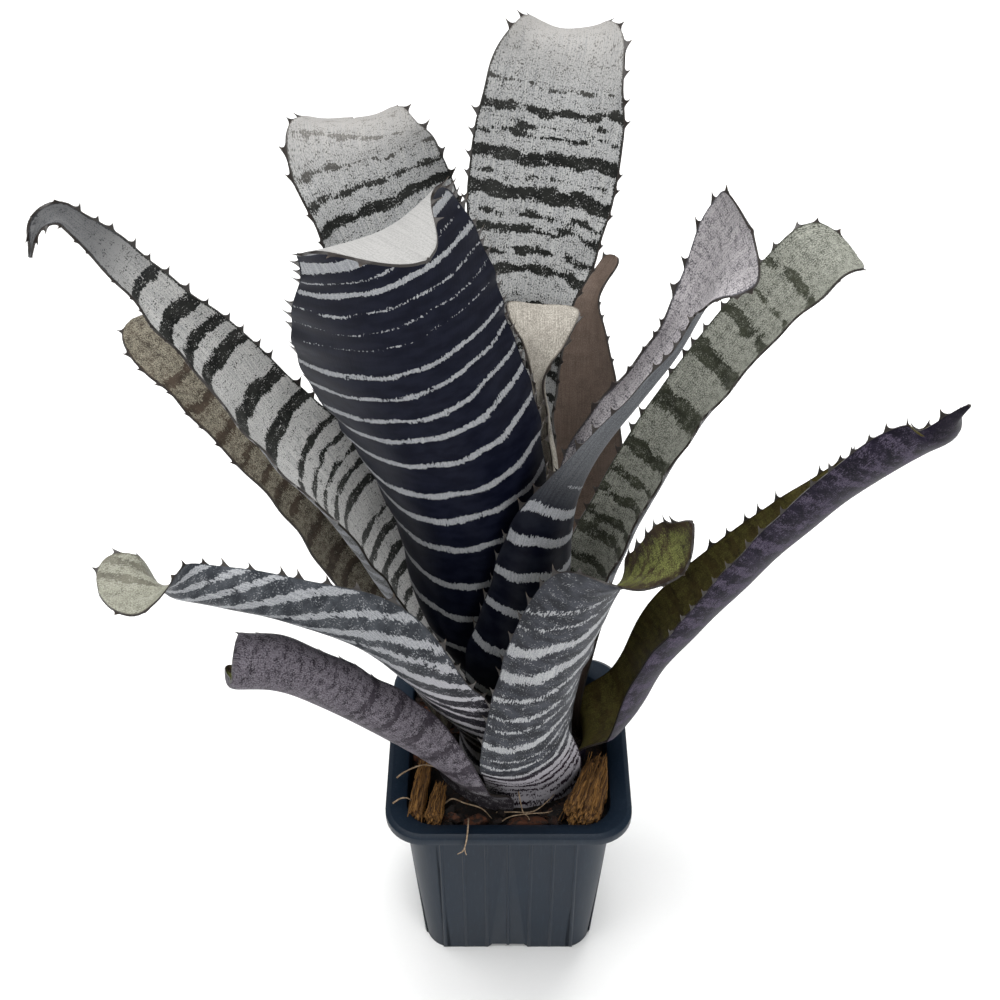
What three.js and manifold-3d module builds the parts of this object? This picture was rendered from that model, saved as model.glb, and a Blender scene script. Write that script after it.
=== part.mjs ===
// A banded tank bromeliad of thirteen toothed leaves, rooted in a square nursery pot.
// Millimetres, +Z up, the front of the plant towards -Y, the origin under the middle of the pot.
import * as THREE from 'three';
import { mergeVertices } from 'three/addons/utils/BufferGeometryUtils.js';
import Module from 'manifold-3d';

const wasm = await Module();
wasm.setup();
const { Manifold, Mesh: SolidMesh } = wasm;

// Pot
const POT_HEIGHT = 95;
const RIM_SIDE = 100;
const RIM_CORNER = 16;
const SHOULDER_SIDE = 86;
const SHOULDER_CORNER = 13;
const FOOT_SIDE = 72;
const FOOT_CORNER = 11;
const WALL = 1.4;
const LIP_DROP = 4.6;
const RIM_FALL = 1.2;
const RIM_BEVEL = 0.7;
const CREST_INSET = 2;
const FLOOR_RISE = 3;
const CORNER_STEPS = 5;
const RIB_PROUD = 0.5;
const RIB_SUNK = 0.6;
const RIB_WIDTH = 1.2;
const RIB_FOOT = 1;
const RIB_HEAD = 87;
const RIBS_ON_A_FACE = 7;
const RIB_SPACING = 9.2;
const NOTCH_TOP_WIDTH = 14;
const NOTCH_FOOT_WIDTH = 19;
const NOTCH_RISE = 2.4;
const NOTCH_DEPTH = 12;
const DRAIN_RADIUS = 3;
const DRAIN_REACH = 22;
const PAD_RADIUS = 9;
const ROUND_SIDES = 16;

// Growing medium, with a plain hole that the foot of the rosette stands in
const FIT_GAP = 0.3;
const MIX_LEVEL = 86;
const MIX_EDGE_DROP = 2.5;
const MIX_SHOULDER = 1.2;
const FOOT_SINK = 5;
const FOOT_ROOM = 1.2;
const FOOT_STEPS = 60;

// Rosette: every leaf starts as an upright cylinder strip round this axis.
const ROSETTE_X = 4;
const ROSETTE_Y = 6;
const LEAF_BASE = MIX_LEVEL - FOOT_SINK + FIT_GAP;

// Blades
const MID_THICK = 1.3;
const EDGE_THICK = 0.8;
const PATH_STEPS = 320;
const BLADE_ROWS = 19;
const TIP_ROWS = [0.4, 0.7, 0.9];

// Teeth
const TOOTH_HEIGHT = 2.6;
const TOOTH_BASE = 3;
const TOOTH_LEAN = 0.55;
const TOOTH_SPACING_BASE = 13;
const TOOTH_SPACING_TIP = 7.5;
const TOOTH_CLEAR = 1;

// Colours
const POT_COLOUR = 0x2a333d;
const MIX_COLOUR = 0x2e2018;
const HUSK_COLOUR = 0x7a4f20;
const CHIP_COLOUR = 0x5a3a20;
const DARK_LEAF = 0x3b3d42;
const PALE_LEAF = 0x8f9090;
const BROWN_LEAF = 0x66523f;
const OLIVE_LEAF = 0x6a6550;
const PURPLE_LEAF = 0x4a4050;

// The leaves, from the heart outwards. facing is the compass angle of the leaf seen from above (0 is +X),
// level the radius of its sheath, wrap how far round the heart the sheath reaches on each side in degrees,
// rise how high it stays upright above the mix. A station is x, y, z of the midrib, the flat width, half
// the angle of the channel, and the twist.
const LEAVES = [
  { name: 'leaf_01_heart', colour: PALE_LEAF, facing: 95, level: 8, wrap: 140, rise: 30,
    teethFrom: 0.75, tip: 0.95, roundness: 4, stations: [
      [8, 11, 190, 32, 140, 0], [12, 10, 237, 24, 145, 0], [11, 9, 260, 14, 140, 0],
      [10, 8, 273, 8, 120, 0], [10, 9, 283, 9, 70, 0], [11, 12, 291, 18, 44, 0],
      [11, 17, 296, 27, 32, 0], [11, 24, 297, 28, 22, 0]] },
  { name: 'leaf_02_tall_back', colour: PALE_LEAF, facing: 80, level: 10.5, wrap: 95, rise: 30,
    teethFrom: 0.45, tip: 0.88, roundness: 1.6, stations: [
      [6, 24, 180, 44, 80, 0], [6, 30, 240, 30, 66, 0], [6, 33, 288, 36, 50, 0],
      [9, 40, 315, 50, 42, 0], [13, 50, 340, 55, 38, 0], [16, 59, 362, 50, 34, 0],
      [19, 67, 373, 45, 34, 0], [20, 78, 374, 40, 32, 0], [21, 92, 367, 34, 22, 0]] },
  { name: 'leaf_03_front', colour: DARK_LEAF, facing: 258, level: 13, wrap: 80, rise: 30,
    teethFrom: 0.35, tip: 0.93, roundness: 1.6, stations: [
      [-14, -14, 168, 66, 74, 0], [-17, -21, 217, 73, 68, -3], [-23, -38, 277, 76, 54, -12],
      [-30, -56, 321, 71, 44, -19], [-31, -75, 356, 62, 37, -24], [-31, -89, 380, 50, 33, -28],
      [-33, -102, 398, 42, 27, -32], [-31, -114, 406, 33, 20, -35], [-20, -127, 407, 26, 12, -35]] },
  { name: 'leaf_04_back_left', colour: PALE_LEAF, facing: 125, level: 15.5, wrap: 48, rise: 28,
    teethFrom: 0.45, tip: 0.88, roundness: 1.6, stations: [
      [-13, 28, 180, 46, 62, 0], [-24, 34, 249, 56, 62, 0], [-32, 42, 277, 58, 52, 0],
      [-39, 48, 296, 59, 44, 0], [-46, 54, 313, 60, 40, 0], [-52, 60, 329, 58, 36, 6],
      [-55, 66, 337, 54, 32, 14], [-56, 76, 340, 48, 26, 22], [-57, 92, 334, 38, 18, 26]] },
  { name: 'leaf_05_rolled_right', colour: DARK_LEAF, facing: 300, level: 18, wrap: 85, rise: 26,
    teethFrom: 0.35, tip: 0.975, roundness: 4, stations: [
      [9, -29, 165, 58, 88, 0], [14, -33, 205, 50, 90, 0], [18, -32, 240, 40, 90, -12],
      [28, -25, 266, 27, 96, -50], [43, -17, 288, 20, 108, -78], [55, -13, 306, 18, 95, -84],
      [62, -11, 322, 22, 66, -76], [65, -13, 332, 29, 44, -72], [68, -16, 342, 34, 26, -78],
      [73, -22, 354, 33, 12, -88]] },
  { name: 'leaf_06_left', colour: PALE_LEAF, facing: 180, level: 20.5, wrap: 42, rise: 24,
    teethFrom: 0.4, tip: 0.88, roundness: 1.6, stations: [
      [-38, 12, 153, 46, 46, 0], [-54, 13, 186, 54, 50, 0], [-69, 10, 224, 52, 54, 8],
      [-87, 7, 257, 40, 52, 20], [-102, 4, 288, 29, 50, 30], [-117, -1, 315, 19, 50, 38],
      [-129, -5, 336, 14, 50, 40], [-136, -8, 347, 11, 54, 40], [-141, -10, 353, 10, 60, 40],
      [-146, -14, 352, 9, 70, 40], [-150, -18, 342, 7, 75, 40]] },
  { name: 'leaf_07_right', colour: PALE_LEAF, facing: 25, level: 22.5, wrap: 58, rise: 24,
    teethFrom: 0.4, tip: 0.95, roundness: 2.4, stations: [
      [34, 22, 157, 42, 66, 0], [46, 26, 194, 36, 64, 0], [58, 32, 221, 34, 58, 0],
      [74, 40, 247, 33, 50, 0], [92, 48, 270, 34, 44, 0], [108, 54, 288, 36, 38, 0],
      [118, 58, 296, 36, 30, 0], [128, 61, 295, 32, 20, 0]] },
  { name: 'leaf_08_left_middle', colour: DARK_LEAF, facing: 218, level: 25, wrap: 36, rise: 18,
    teethFrom: 0.35, tip: 0.95, roundness: 2.4, stations: [
      [-27, -29, 147, 52, 46, -14], [-41, -40, 179, 60, 58, -6], [-56, -46, 201, 54, 62, -30],
      [-76, -49, 217, 32, 60, -50], [-95, -52, 228, 23, 60, -68], [-110, -55, 235, 20, 50, -66],
      [-121, -59, 240, 28, 28, 10], [-135, -66, 243, 33, 16, 14]] },
  { name: 'leaf_09_old_brown', colour: BROWN_LEAF, facing: 62, level: 27, wrap: 50, rise: 16,
    teethFrom: 0.5, tip: 0.97, roundness: 3, stations: [
      [31, 62, 162, 48, 46, 0], [30, 74, 191, 46, 42, 0], [30, 82, 213, 42, 38, 0],
      [30, 91, 234, 30, 36, 0], [32, 99, 248, 17, 40, 10], [38, 106, 257, 12, 36, 30],
      [44, 110, 265, 13, 20, 40]] },
  { name: 'leaf_10_purple', colour: PURPLE_LEAF, facing: 355, level: 29, wrap: 38, rise: 12,
    teethFrom: 0.4, tip: 0.97, roundness: 2, stations: [
      [49, 3, 110, 46, 46, 0], [65, 0, 149, 52, 64, 4], [86, -4, 185, 52, 66, 12],
      [108, -10, 222, 46, 68, 24], [128, -16, 251, 44, 64, 36], [141, -20, 266, 40, 62, 46],
      [147, -22, 273, 28, 60, 50], [148, -24, 283, 9, 70, 50], [151, -25, 290, 5, 70, 50]] },
  { name: 'leaf_11_olive', colour: OLIVE_LEAF, facing: 150, level: 31, wrap: 42, rise: 10,
    teethFrom: 0.7, tip: 0.94, roundness: 1.6, stations: [
      [-46, 30, 143, 46, 42, 0], [-65, 33, 174, 42, 36, 0], [-83, 38, 205, 38, 32, 0],
      [-105, 45, 231, 36, 30, 0], [-123, 53, 249, 34, 28, 0], [-138, 60, 260, 30, 22, 0],
      [-145, 65, 264, 26, 18, 0]] },
  { name: 'leaf_12_front_right', colour: DARK_LEAF, facing: 284, level: 33, wrap: 38, rise: 10,
    teethFrom: 0.3, tip: 0.88, roundness: 1.6, stations: [
      [9, -43, 134, 41, 43, -8], [13, -50, 172, 40, 54, -4], [20, -56, 211, 38, 56, 2],
      [30, -60, 237, 36, 62, -7], [40, -64, 247, 24, 62, -46], [47, -67, 257, 24, 40, -72],
      [54, -69, 267, 25, 30, -92], [56, -71, 279, 14, 30, -104]] },
  { name: 'leaf_13_low_left', colour: PURPLE_LEAF, facing: 228, level: 35.5, wrap: 38, rise: 6,
    teethFrom: 0.6, tip: 0.97, roundness: 1.6, stations: [
      [-24, -25, 103, 40, 46, 12], [-32, -34, 123, 37, 72, 0], [-47, -43, 149, 38, 106, -35],
      [-65, -51, 175, 38, 118, -50], [-82, -57, 192, 40, 120, -60], [-97, -63, 199, 42, 118, -60]] },
];

// Pieces lying on the mix: middle, half sizes, turn about the upright and tilt in degrees, and a seed.
const HUSKS = [
  { name: 'husk_chunk_right', colour: HUSK_COLOUR, seed: 3,
    at: [33.6, -25, 92.4], half: [5.8, 14.6, 6.4], turn: -20, tilt: 10 },
  { name: 'husk_strip_left_1', colour: HUSK_COLOUR, seed: 5,
    at: [-36.2, -22, 90.6], half: [2.6, 15, 4.2], turn: -7, tilt: 4 },
  { name: 'husk_strip_left_2', colour: HUSK_COLOUR, seed: 7,
    at: [-29.4, -29.6, 90.3], half: [2.6, 9.5, 4], turn: -8, tilt: 0 },
  { name: 'bark_chip_front_1', colour: CHIP_COLOUR, seed: 11,
    at: [7, -37.5, 88.6], half: [8, 2.6, 2.2], turn: 4, tilt: 0 },
  { name: 'bark_chip_front_2', colour: CHIP_COLOUR, seed: 13,
    at: [-14, -37, 88.4], half: [4.6, 2.8, 2], turn: 30, tilt: 0 },
];
const HUSK_SIDES = 10;
const HUSK_BANDS = 4;
const HUSK_ROUGH = 0.3;

const radians = THREE.MathUtils.degToRad;

// A repeatable run of random numbers between 0 and 1.
function randomFrom(seed) {
  let state = seed * 7919 + 17;
  return () => {
    state = (state * 16807) % 2147483647;
    return state / 2147483647;
  };
}

// A growing list of points and triangles, which ends as one closed body.
class Body {
  constructor() {
    this.points = [];
    this.faces = [];
  }

  point(p) {
    this.points.push(p.x, p.y, p.z);
    return this.points.length / 3 - 1;
  }

  face(a, b, c, flip = false) {
    this.faces.push(a, flip ? c : b, flip ? b : c);
  }

  quad(a, b, c, d, flip = false) {
    this.face(a, b, c, flip);
    this.face(a, c, d, flip);
  }

  geometry() {
    const geometry = new THREE.BufferGeometry();
    geometry.setAttribute('position', new THREE.Float32BufferAttribute(this.points, 3));
    geometry.setIndex(this.faces);
    geometry.computeVertexNormals();
    return geometry;
  }
}

// A closed geometry as a solid that can be joined and cut.
function solidOf(geometry) {
  geometry.deleteAttribute('normal');
  geometry.deleteAttribute('uv');
  const merged = mergeVertices(geometry);
  return new Manifold(new SolidMesh({
    numProp: 3,
    vertProperties: new Float32Array(merged.attributes.position.array),
    triVerts: new Uint32Array(merged.index.array),
  }));
}

function solidGeometry(solid) {
  const mesh = solid.getMesh();
  const geometry = new THREE.BufferGeometry();
  geometry.setAttribute('position', new THREE.Float32BufferAttribute(mesh.vertProperties, mesh.numProp));
  geometry.setIndex([...mesh.triVerts]);
  geometry.computeVertexNormals();
  return geometry;
}

function piece(name, geometry, colour, roughness) {
  const material = new THREE.MeshStandardMaterial({ color: colour, roughness, name: `${name}_finish` });
  const mesh = new THREE.Mesh(geometry, material);
  mesh.name = name;
  return mesh;
}

// Value of one column of the stations at a place counted in stations, eased through its neighbours.
function stationValue(rows, column, place) {
  const last = rows.length - 1;
  const index = Math.min(Math.floor(place), last - 1);
  const u = place - index;
  const value = (k) => rows[THREE.MathUtils.clamp(k, 0, last)][column];
  const slopeIn = (value(index + 1) - value(index - 1)) / 2;
  const slopeOut = (value(index + 2) - value(index)) / 2;
  const u2 = u * u;
  const u3 = u2 * u;
  return (2 * u3 - 3 * u2 + 1) * value(index) + (u3 - 2 * u2 + u) * slopeIn
    + (3 * u2 - 2 * u3) * value(index + 1) + (u3 - u2) * slopeOut;
}

// The blade as a function: blade.at(t, v, side) gives the point a fraction t along the leaf and v across
// it, v from -1 to 1, on the inner face (side 1) or the outer face (side -1).
function bladeOf(leaf) {
  const angle = radians(leaf.facing);
  const outward = new THREE.Vector3(Math.cos(angle), Math.sin(angle), 0);
  const foot = new THREE.Vector3(ROSETTE_X, ROSETTE_Y, 0).addScaledVector(outward, leaf.level);
  const sheathWidth = 2 * radians(leaf.wrap) * leaf.level;
  const rows = [
    [foot.x, foot.y, LEAF_BASE, sheathWidth, leaf.wrap, 0],
    [foot.x, foot.y, MIX_LEVEL + leaf.rise, sheathWidth, leaf.wrap, 0],
    ...leaf.stations,
  ];
  const places = rows.map(([x, y, z]) => new THREE.Vector3(x, y, z));
  const midrib = new THREE.CatmullRomCurve3(places, false, 'centripetal');
  midrib.arcLengthDivisions = 40 * rows.length;
  const path = midrib.getSpacedPoints(PATH_STEPS);
  const frames = [];
  for (let i = 0; i <= PATH_STEPS; i += 1) {
    const before = path[Math.max(i - 1, 0)];
    const after = path[Math.min(i + 1, PATH_STEPS)];
    const along = after.clone().sub(before).normalize();
    const inward = i === 0 ? outward.clone().negate() : frames[i - 1].inward.clone();
    inward.addScaledVector(along, -inward.dot(along)).normalize();
    frames.push({ centre: path[i], along, inward });
  }

  const section = (t) => {
    const step = Math.min(Math.floor(t * PATH_STEPS), PATH_STEPS - 1);
    const mix = t * PATH_STEPS - step;
    const [a, b] = [frames[step], frames[step + 1]];
    const centre = a.centre.clone().lerp(b.centre, mix);
    const along = a.along.clone().lerp(b.along, mix).normalize();
    const straight = a.inward.clone().lerp(b.inward, mix).normalize();
    const across = straight.clone().cross(along);
    const place = midrib.getUtoTmapping(t) * (rows.length - 1);
    const twist = radians(stationValue(rows, 5, place));
    const [c, s] = [Math.cos(twist), Math.sin(twist)];
    const inward = straight.clone().multiplyScalar(c).addScaledVector(across, s);
    across.multiplyScalar(c).addScaledVector(straight, -s);
    const half = radians(Math.max(stationValue(rows, 4, place), 2));
    const tipward = THREE.MathUtils.clamp((t - leaf.tip) / (1 - leaf.tip), 0, 1);
    const taper = Math.sqrt(Math.max(1 - tipward ** leaf.roundness, 0));
    const width = Math.max(stationValue(rows, 3, place) * taper, 1.5);
    return { centre, along, inward, across, half, radius: width / (2 * half) };
  };

  const at = (t, v, side) => {
    const s = section(t);
    const bend = s.half * v;
    const thick = EDGE_THICK + (MID_THICK - EDGE_THICK) * (1 - v * v);
    // Along inward and across, from the midrib to the middle of the blade and on to its face.
    const inwards = s.radius * (1 - Math.cos(bend)) + side * thick / 2 * Math.cos(bend);
    const sideways = s.radius * Math.sin(bend) - side * thick / 2 * Math.sin(bend);
    return s.centre.clone().addScaledVector(s.inward, inwards).addScaledVector(s.across, sideways);
  };

  return { at, section, tip: path[PATH_STEPS], length: midrib.getLength() };
}

// Fractions of the length where the blade has a row of points. They crowd towards the round tip.
function rowPlaces(leaf) {
  const rows = [];
  for (let i = 0; i <= BLADE_ROWS; i += 1) rows.push(leaf.tip * i / BLADE_ROWS);
  for (const share of TIP_ROWS) rows.push(leaf.tip + (1 - leaf.tip) * share);
  return rows;
}

// The teeth of one margin, each as the fractions where its base starts and ends.
function toothPlaces(leaf, blade, random) {
  const teeth = [];
  const lastRow = leaf.tip + (1 - leaf.tip) * TIP_ROWS[TIP_ROWS.length - 1];
  const base = TOOTH_BASE / blade.length;
  let t = leaf.teethFrom + 0.02 * random();
  while (t + 2 * base < lastRow) {
    teeth.push([t, t + base]);
    const spacing = TOOTH_SPACING_BASE + (TOOTH_SPACING_TIP - TOOTH_SPACING_BASE) * t;
    t += spacing * (0.8 + 0.4 * random()) / blade.length;
  }
  return teeth;
}

// Fractions along one margin: the blade's rows, except where a tooth stands, and both ends of every tooth.
function marginPlaces(rows, teeth, length) {
  const clear = TOOTH_CLEAR / length;
  const places = rows.filter((t) => teeth.every(([from, to]) => t < from - clear || t > to + clear));
  const all = places.map((t) => ({ t, tooth: false }));
  for (const [from, to] of teeth) {
    all.push({ t: from, tooth: true });
    all.push({ t: to, tooth: false });
  }
  return all.sort((a, b) => a.t - b.t);
}

// Tip of a tooth: out from the margin in the blade's own surface, hooked towards the leaf's tip.
function toothTip(blade, v, from, to, height) {
  const middle = (from + to) / 2;
  const s = blade.section(middle);
  const out = s.inward.clone().multiplyScalar(Math.sin(s.half));
  out.addScaledVector(s.across, v * Math.cos(s.half));
  const foot = blade.at(middle, v, 1).lerp(blade.at(middle, v, -1), 0.5);
  return foot.addScaledVector(out, height).addScaledVector(s.along, height * TOOTH_LEAN);
}

// Triangles between the column of points next to a margin and the margin itself.
function stitch(body, inner, innerT, edge, edgeT, flip) {
  let i = 0;
  let k = 0;
  while (i < inner.length - 1 || k < edge.length - 1) {
    const innerFirst = k === edge.length - 1 || (i < inner.length - 1 && innerT[i + 1] <= edgeT[k + 1]);
    if (innerFirst) {
      body.face(inner[i], inner[i + 1], edge[k], flip);
      i += 1;
    } else {
      body.face(inner[i], edge[k + 1], edge[k], flip);
      k += 1;
    }
  }
}

function leafBody(leaf, number) {
  const blade = bladeOf(leaf);
  const random = randomFrom(number + 1);
  const rows = rowPlaces(leaf);
  const columns = leaf.wrap > 90 ? 8 : 6;
  const body = new Body();
  const tip = body.point(blade.tip);
  const across = (j) => -1 + 2 * j / columns;

  // Columns of points of both faces, without the margins.
  const faces = [1, -1].map((side) => {
    const grid = [];
    for (let j = 1; j < columns; j += 1) {
      grid.push(rows.map((t) => body.point(blade.at(t, across(j), side))));
    }
    return grid;
  });

  // Both margins, with the points of both faces side by side.
  const margins = [-1, 1].map((v) => {
    const places = marginPlaces(rows, toothPlaces(leaf, blade, random), blade.length);
    const edges = [1, -1].map((side) => places.map(({ t }) => body.point(blade.at(t, v, side))));
    return { v, places, edges };
  });

  faces.forEach((grid, f) => {
    const flip = f === 1;
    for (let j = 0; j < grid.length - 1; j += 1) {
      for (let i = 0; i < rows.length - 1; i += 1) {
        body.quad(grid[j][i], grid[j][i + 1], grid[j + 1][i + 1], grid[j + 1][i], flip);
      }
    }
    for (const { v, places, edges } of margins) {
      const inner = v < 0 ? grid[0] : grid[grid.length - 1];
      stitch(body, inner, rows, edges[f], places.map(({ t }) => t), (v < 0) !== flip);
    }
  });

  for (const { v, places, edges: [inside, outside] } of margins) {
    const flip = v < 0;
    for (let k = 0; k < places.length - 1; k += 1) {
      if (places[k].tooth) {
        const height = TOOTH_HEIGHT * (0.75 + 0.5 * random());
        const point = body.point(toothTip(blade, v, places[k].t, places[k + 1].t, height));
        body.face(inside[k], inside[k + 1], point, flip);
        body.face(outside[k], point, outside[k + 1], flip);
        body.face(inside[k], point, outside[k], flip);
        body.face(inside[k + 1], outside[k + 1], point, flip);
      } else {
        body.quad(inside[k], inside[k + 1], outside[k + 1], outside[k], flip);
      }
    }
    const last = places.length - 1;
    body.face(inside[last], tip, outside[last], flip);
  }

  // The foot of the sheath and the fan of triangles at the tip.
  const rowAt = (f, end) => {
    const pick = (list) => list[end === 0 ? 0 : list.length - 1];
    return [pick(margins[0].edges[f]), ...faces[f].map(pick), pick(margins[1].edges[f])];
  };
  const [footIn, footOut, headIn, headOut] = [rowAt(0, 0), rowAt(1, 0), rowAt(0, 1), rowAt(1, 1)];
  for (let j = 0; j < columns; j += 1) {
    body.quad(footIn[j], footIn[j + 1], footOut[j + 1], footOut[j]);
    body.face(headIn[j], tip, headIn[j + 1]);
    body.face(headOut[j], headOut[j + 1], tip);
  }
  return body;
}

function leafPiece(leaf, number) {
  return piece(leaf.name, leafBody(leaf, number).geometry(), leaf.colour, 0.45);
}

// Points of a square with round corners, anticlockwise seen from above.
function roundedSquare(side, corner, z) {
  const ring = [];
  const middle = side / 2 - corner;
  for (let quarter = 0; quarter < 4; quarter += 1) {
    for (let k = 0; k <= CORNER_STEPS; k += 1) {
      const angle = (quarter + k / CORNER_STEPS) * Math.PI / 2;
      const [signX, signY] = [[1, 1], [-1, 1], [-1, -1], [1, -1]][quarter];
      ring.push(new THREE.Vector3(signX * middle + corner * Math.cos(angle),
        signY * middle + corner * Math.sin(angle), z));
    }
  }
  return ring;
}

// A closed body from a stack of rings, listed from the lower cap over the outside to the last cap.
function ringBody(rings) {
  const body = new Body();
  const count = rings[0].length;
  const indices = rings.map((ring) => ring.map((p) => body.point(p)));
  for (let r = 0; r < rings.length - 1; r += 1) {
    for (let k = 0; k < count; k += 1) {
      const next = (k + 1) % count;
      body.quad(indices[r][k], indices[r][next], indices[r + 1][next], indices[r + 1][k]);
    }
  }
  const cap = (ring, flip) => {
    for (let k = 1; k < count - 1; k += 1) body.face(ring[0], ring[k], ring[k + 1], flip);
  };
  cap(indices[0], true);
  cap(indices[indices.length - 1], false);
  return body.geometry();
}

// Side of the tapering pot wall at a height.
function wallSide(z) {
  return THREE.MathUtils.lerp(FOOT_SIDE, SHOULDER_SIDE, z / (POT_HEIGHT - LIP_DROP));
}

function wallCorner(z) {
  return THREE.MathUtils.lerp(FOOT_CORNER, SHOULDER_CORNER, z / (POT_HEIGHT - LIP_DROP));
}

function wallRing(z, inset) {
  return roundedSquare(wallSide(z) - 2 * inset, wallCorner(z) - inset, z);
}

// The moulded shell: tapering wall, flat rim that falls slightly outwards, and a turned-down lip.
function potShell() {
  const under = POT_HEIGHT - LIP_DROP;
  const shelf = POT_HEIGHT - RIM_FALL - WALL;
  const floorTop = FLOOR_RISE + WALL;
  return ringBody([
    wallRing(0, 0),
    wallRing(under, 0),
    roundedSquare(wallSide(under), SHOULDER_CORNER, shelf),
    roundedSquare(RIM_SIDE - 2 * WALL, RIM_CORNER - WALL, shelf),
    roundedSquare(RIM_SIDE - 2 * WALL, RIM_CORNER - WALL, under),
    roundedSquare(RIM_SIDE, RIM_CORNER, under),
    roundedSquare(RIM_SIDE, RIM_CORNER, POT_HEIGHT - RIM_FALL),
    roundedSquare(RIM_SIDE - 2 * RIM_BEVEL, RIM_CORNER - RIM_BEVEL, POT_HEIGHT - RIM_FALL / 4),
    roundedSquare(RIM_SIDE - 2 * CREST_INSET, RIM_CORNER - CREST_INSET, POT_HEIGHT),
    roundedSquare(SHOULDER_SIDE + 2, SHOULDER_CORNER, POT_HEIGHT - RIM_FALL),
    roundedSquare(SHOULDER_SIDE - 2 * WALL, SHOULDER_CORNER - WALL, POT_HEIGHT - 2 * RIM_FALL),
    wallRing(floorTop, WALL),
  ]);
}

// A fine upright rib on the front wall, leaning with the wall; the other faces get turned copies.
function potRib(x) {
  const body = new Body();
  const corners = [];
  for (const z of [RIB_FOOT, RIB_HEAD]) {
    const wall = -wallSide(z) / 2;
    for (const [dx, dy] of [[-1, RIB_SUNK], [1, RIB_SUNK], [0.5, -RIB_PROUD], [-0.5, -RIB_PROUD]]) {
      corners.push(body.point(new THREE.Vector3(x + dx * RIB_WIDTH / 2, wall + dy, z)));
    }
  }
  for (let k = 0; k < 4; k += 1) {
    const next = (k + 1) % 4;
    body.quad(corners[k], corners[k + 4], corners[next + 4], corners[next]);
  }
  body.quad(corners[0], corners[1], corners[2], corners[3]);
  body.quad(corners[7], corners[6], corners[5], corners[4]);
  return body.geometry();
}

// The gap in the middle of a foot edge, narrower at its top, which lets water run out.
function footNotch() {
  const outline = new THREE.Shape();
  outline.moveTo(-NOTCH_FOOT_WIDTH / 2, -NOTCH_RISE);
  outline.lineTo(NOTCH_FOOT_WIDTH / 2, -NOTCH_RISE);
  outline.lineTo(NOTCH_FOOT_WIDTH / 2, 0);
  outline.lineTo(NOTCH_TOP_WIDTH / 2, NOTCH_RISE);
  outline.lineTo(-NOTCH_TOP_WIDTH / 2, NOTCH_RISE);
  outline.lineTo(-NOTCH_FOOT_WIDTH / 2, 0);
  const notch = new THREE.ExtrudeGeometry(outline, { depth: NOTCH_DEPTH, bevelEnabled: false });
  return notch.rotateX(Math.PI / 2).translate(0, (NOTCH_DEPTH - FOOT_SIDE) / 2, 0);
}

// An upright round peg through the pot's floor, for a drain hole or for the pad under the floor.
function floorPeg(radius, reach) {
  const peg = new THREE.CylinderGeometry(radius, radius, 4 * FLOOR_RISE, ROUND_SIDES);
  return peg.rotateX(Math.PI / 2).translate(reach, 0, 0);
}

function potPiece() {
  const added = [];
  const cut = [];
  for (let face = 0; face < 4; face += 1) {
    const turn = face * Math.PI / 2;
    for (let k = 0; k < RIBS_ON_A_FACE; k += 1) {
      const x = (k - (RIBS_ON_A_FACE - 1) / 2) * RIB_SPACING;
      added.push(solidOf(potRib(x).rotateZ(turn)));
    }
    cut.push(solidOf(footNotch().rotateZ(turn)));
    cut.push(solidOf(floorPeg(DRAIN_RADIUS, DRAIN_REACH).rotateZ(turn + Math.PI / 4)));
  }
  // Under the floor the foot is hollow, but for a round pad in its middle.
  const hollow = solidOf(ringBody([
    roundedSquare(FOOT_SIDE - 2 * WALL, FOOT_CORNER - WALL, -FLOOR_RISE),
    roundedSquare(FOOT_SIDE - 2 * WALL, FOOT_CORNER - WALL, FLOOR_RISE),
  ])).subtract(solidOf(floorPeg(PAD_RADIUS, 0)));
  const whole = Manifold.union([solidOf(potShell()), ...added]);
  const finished = Manifold.difference([whole, hollow, ...cut]);
  return piece('nursery_pot', solidGeometry(finished), POT_COLOUR, 0.5);
}

// How far the foot of the rosette reaches from its axis in one direction seen from above.
function footReach(azimuth) {
  const covers = (leaf) => {
    const turn = THREE.MathUtils.euclideanModulo(azimuth - leaf.facing + 180, 360) - 180;
    return Math.abs(turn) <= leaf.wrap + 360 / FOOT_STEPS;
  };
  return Math.max(...LEAVES.filter(covers).map((leaf) => leaf.level)) + FOOT_ROOM;
}

// The mix fills the pot with a hair of room at the wall. Its top is level, rounds down at the wall and has
// a plain hole for the foot of the rosette.
function mixPiece() {
  const inset = WALL + FIT_GAP;
  const filling = ringBody([
    wallRing(FLOOR_RISE + WALL + FIT_GAP, inset),
    wallRing(MIX_LEVEL - MIX_EDGE_DROP, inset),
    wallRing(MIX_LEVEL - MIX_EDGE_DROP / 3, inset + MIX_SHOULDER),
    wallRing(MIX_LEVEL, inset + 2 * MIX_SHOULDER),
  ]);
  const outline = new THREE.Shape();
  for (let k = 0; k < FOOT_STEPS; k += 1) {
    const azimuth = 360 * k / FOOT_STEPS;
    const reach = footReach(azimuth);
    const x = ROSETTE_X + reach * Math.cos(radians(azimuth));
    const y = ROSETTE_Y + reach * Math.sin(radians(azimuth));
    if (k === 0) outline.moveTo(x, y);
    else outline.lineTo(x, y);
  }
  const hole = new THREE.ExtrudeGeometry(outline, { depth: 2 * FOOT_SINK, bevelEnabled: false });
  hole.translate(0, 0, MIX_LEVEL - FOOT_SINK);
  return piece('growing_mix', solidGeometry(solidOf(filling).subtract(solidOf(hole))), MIX_COLOUR, 0.95);
}

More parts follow.
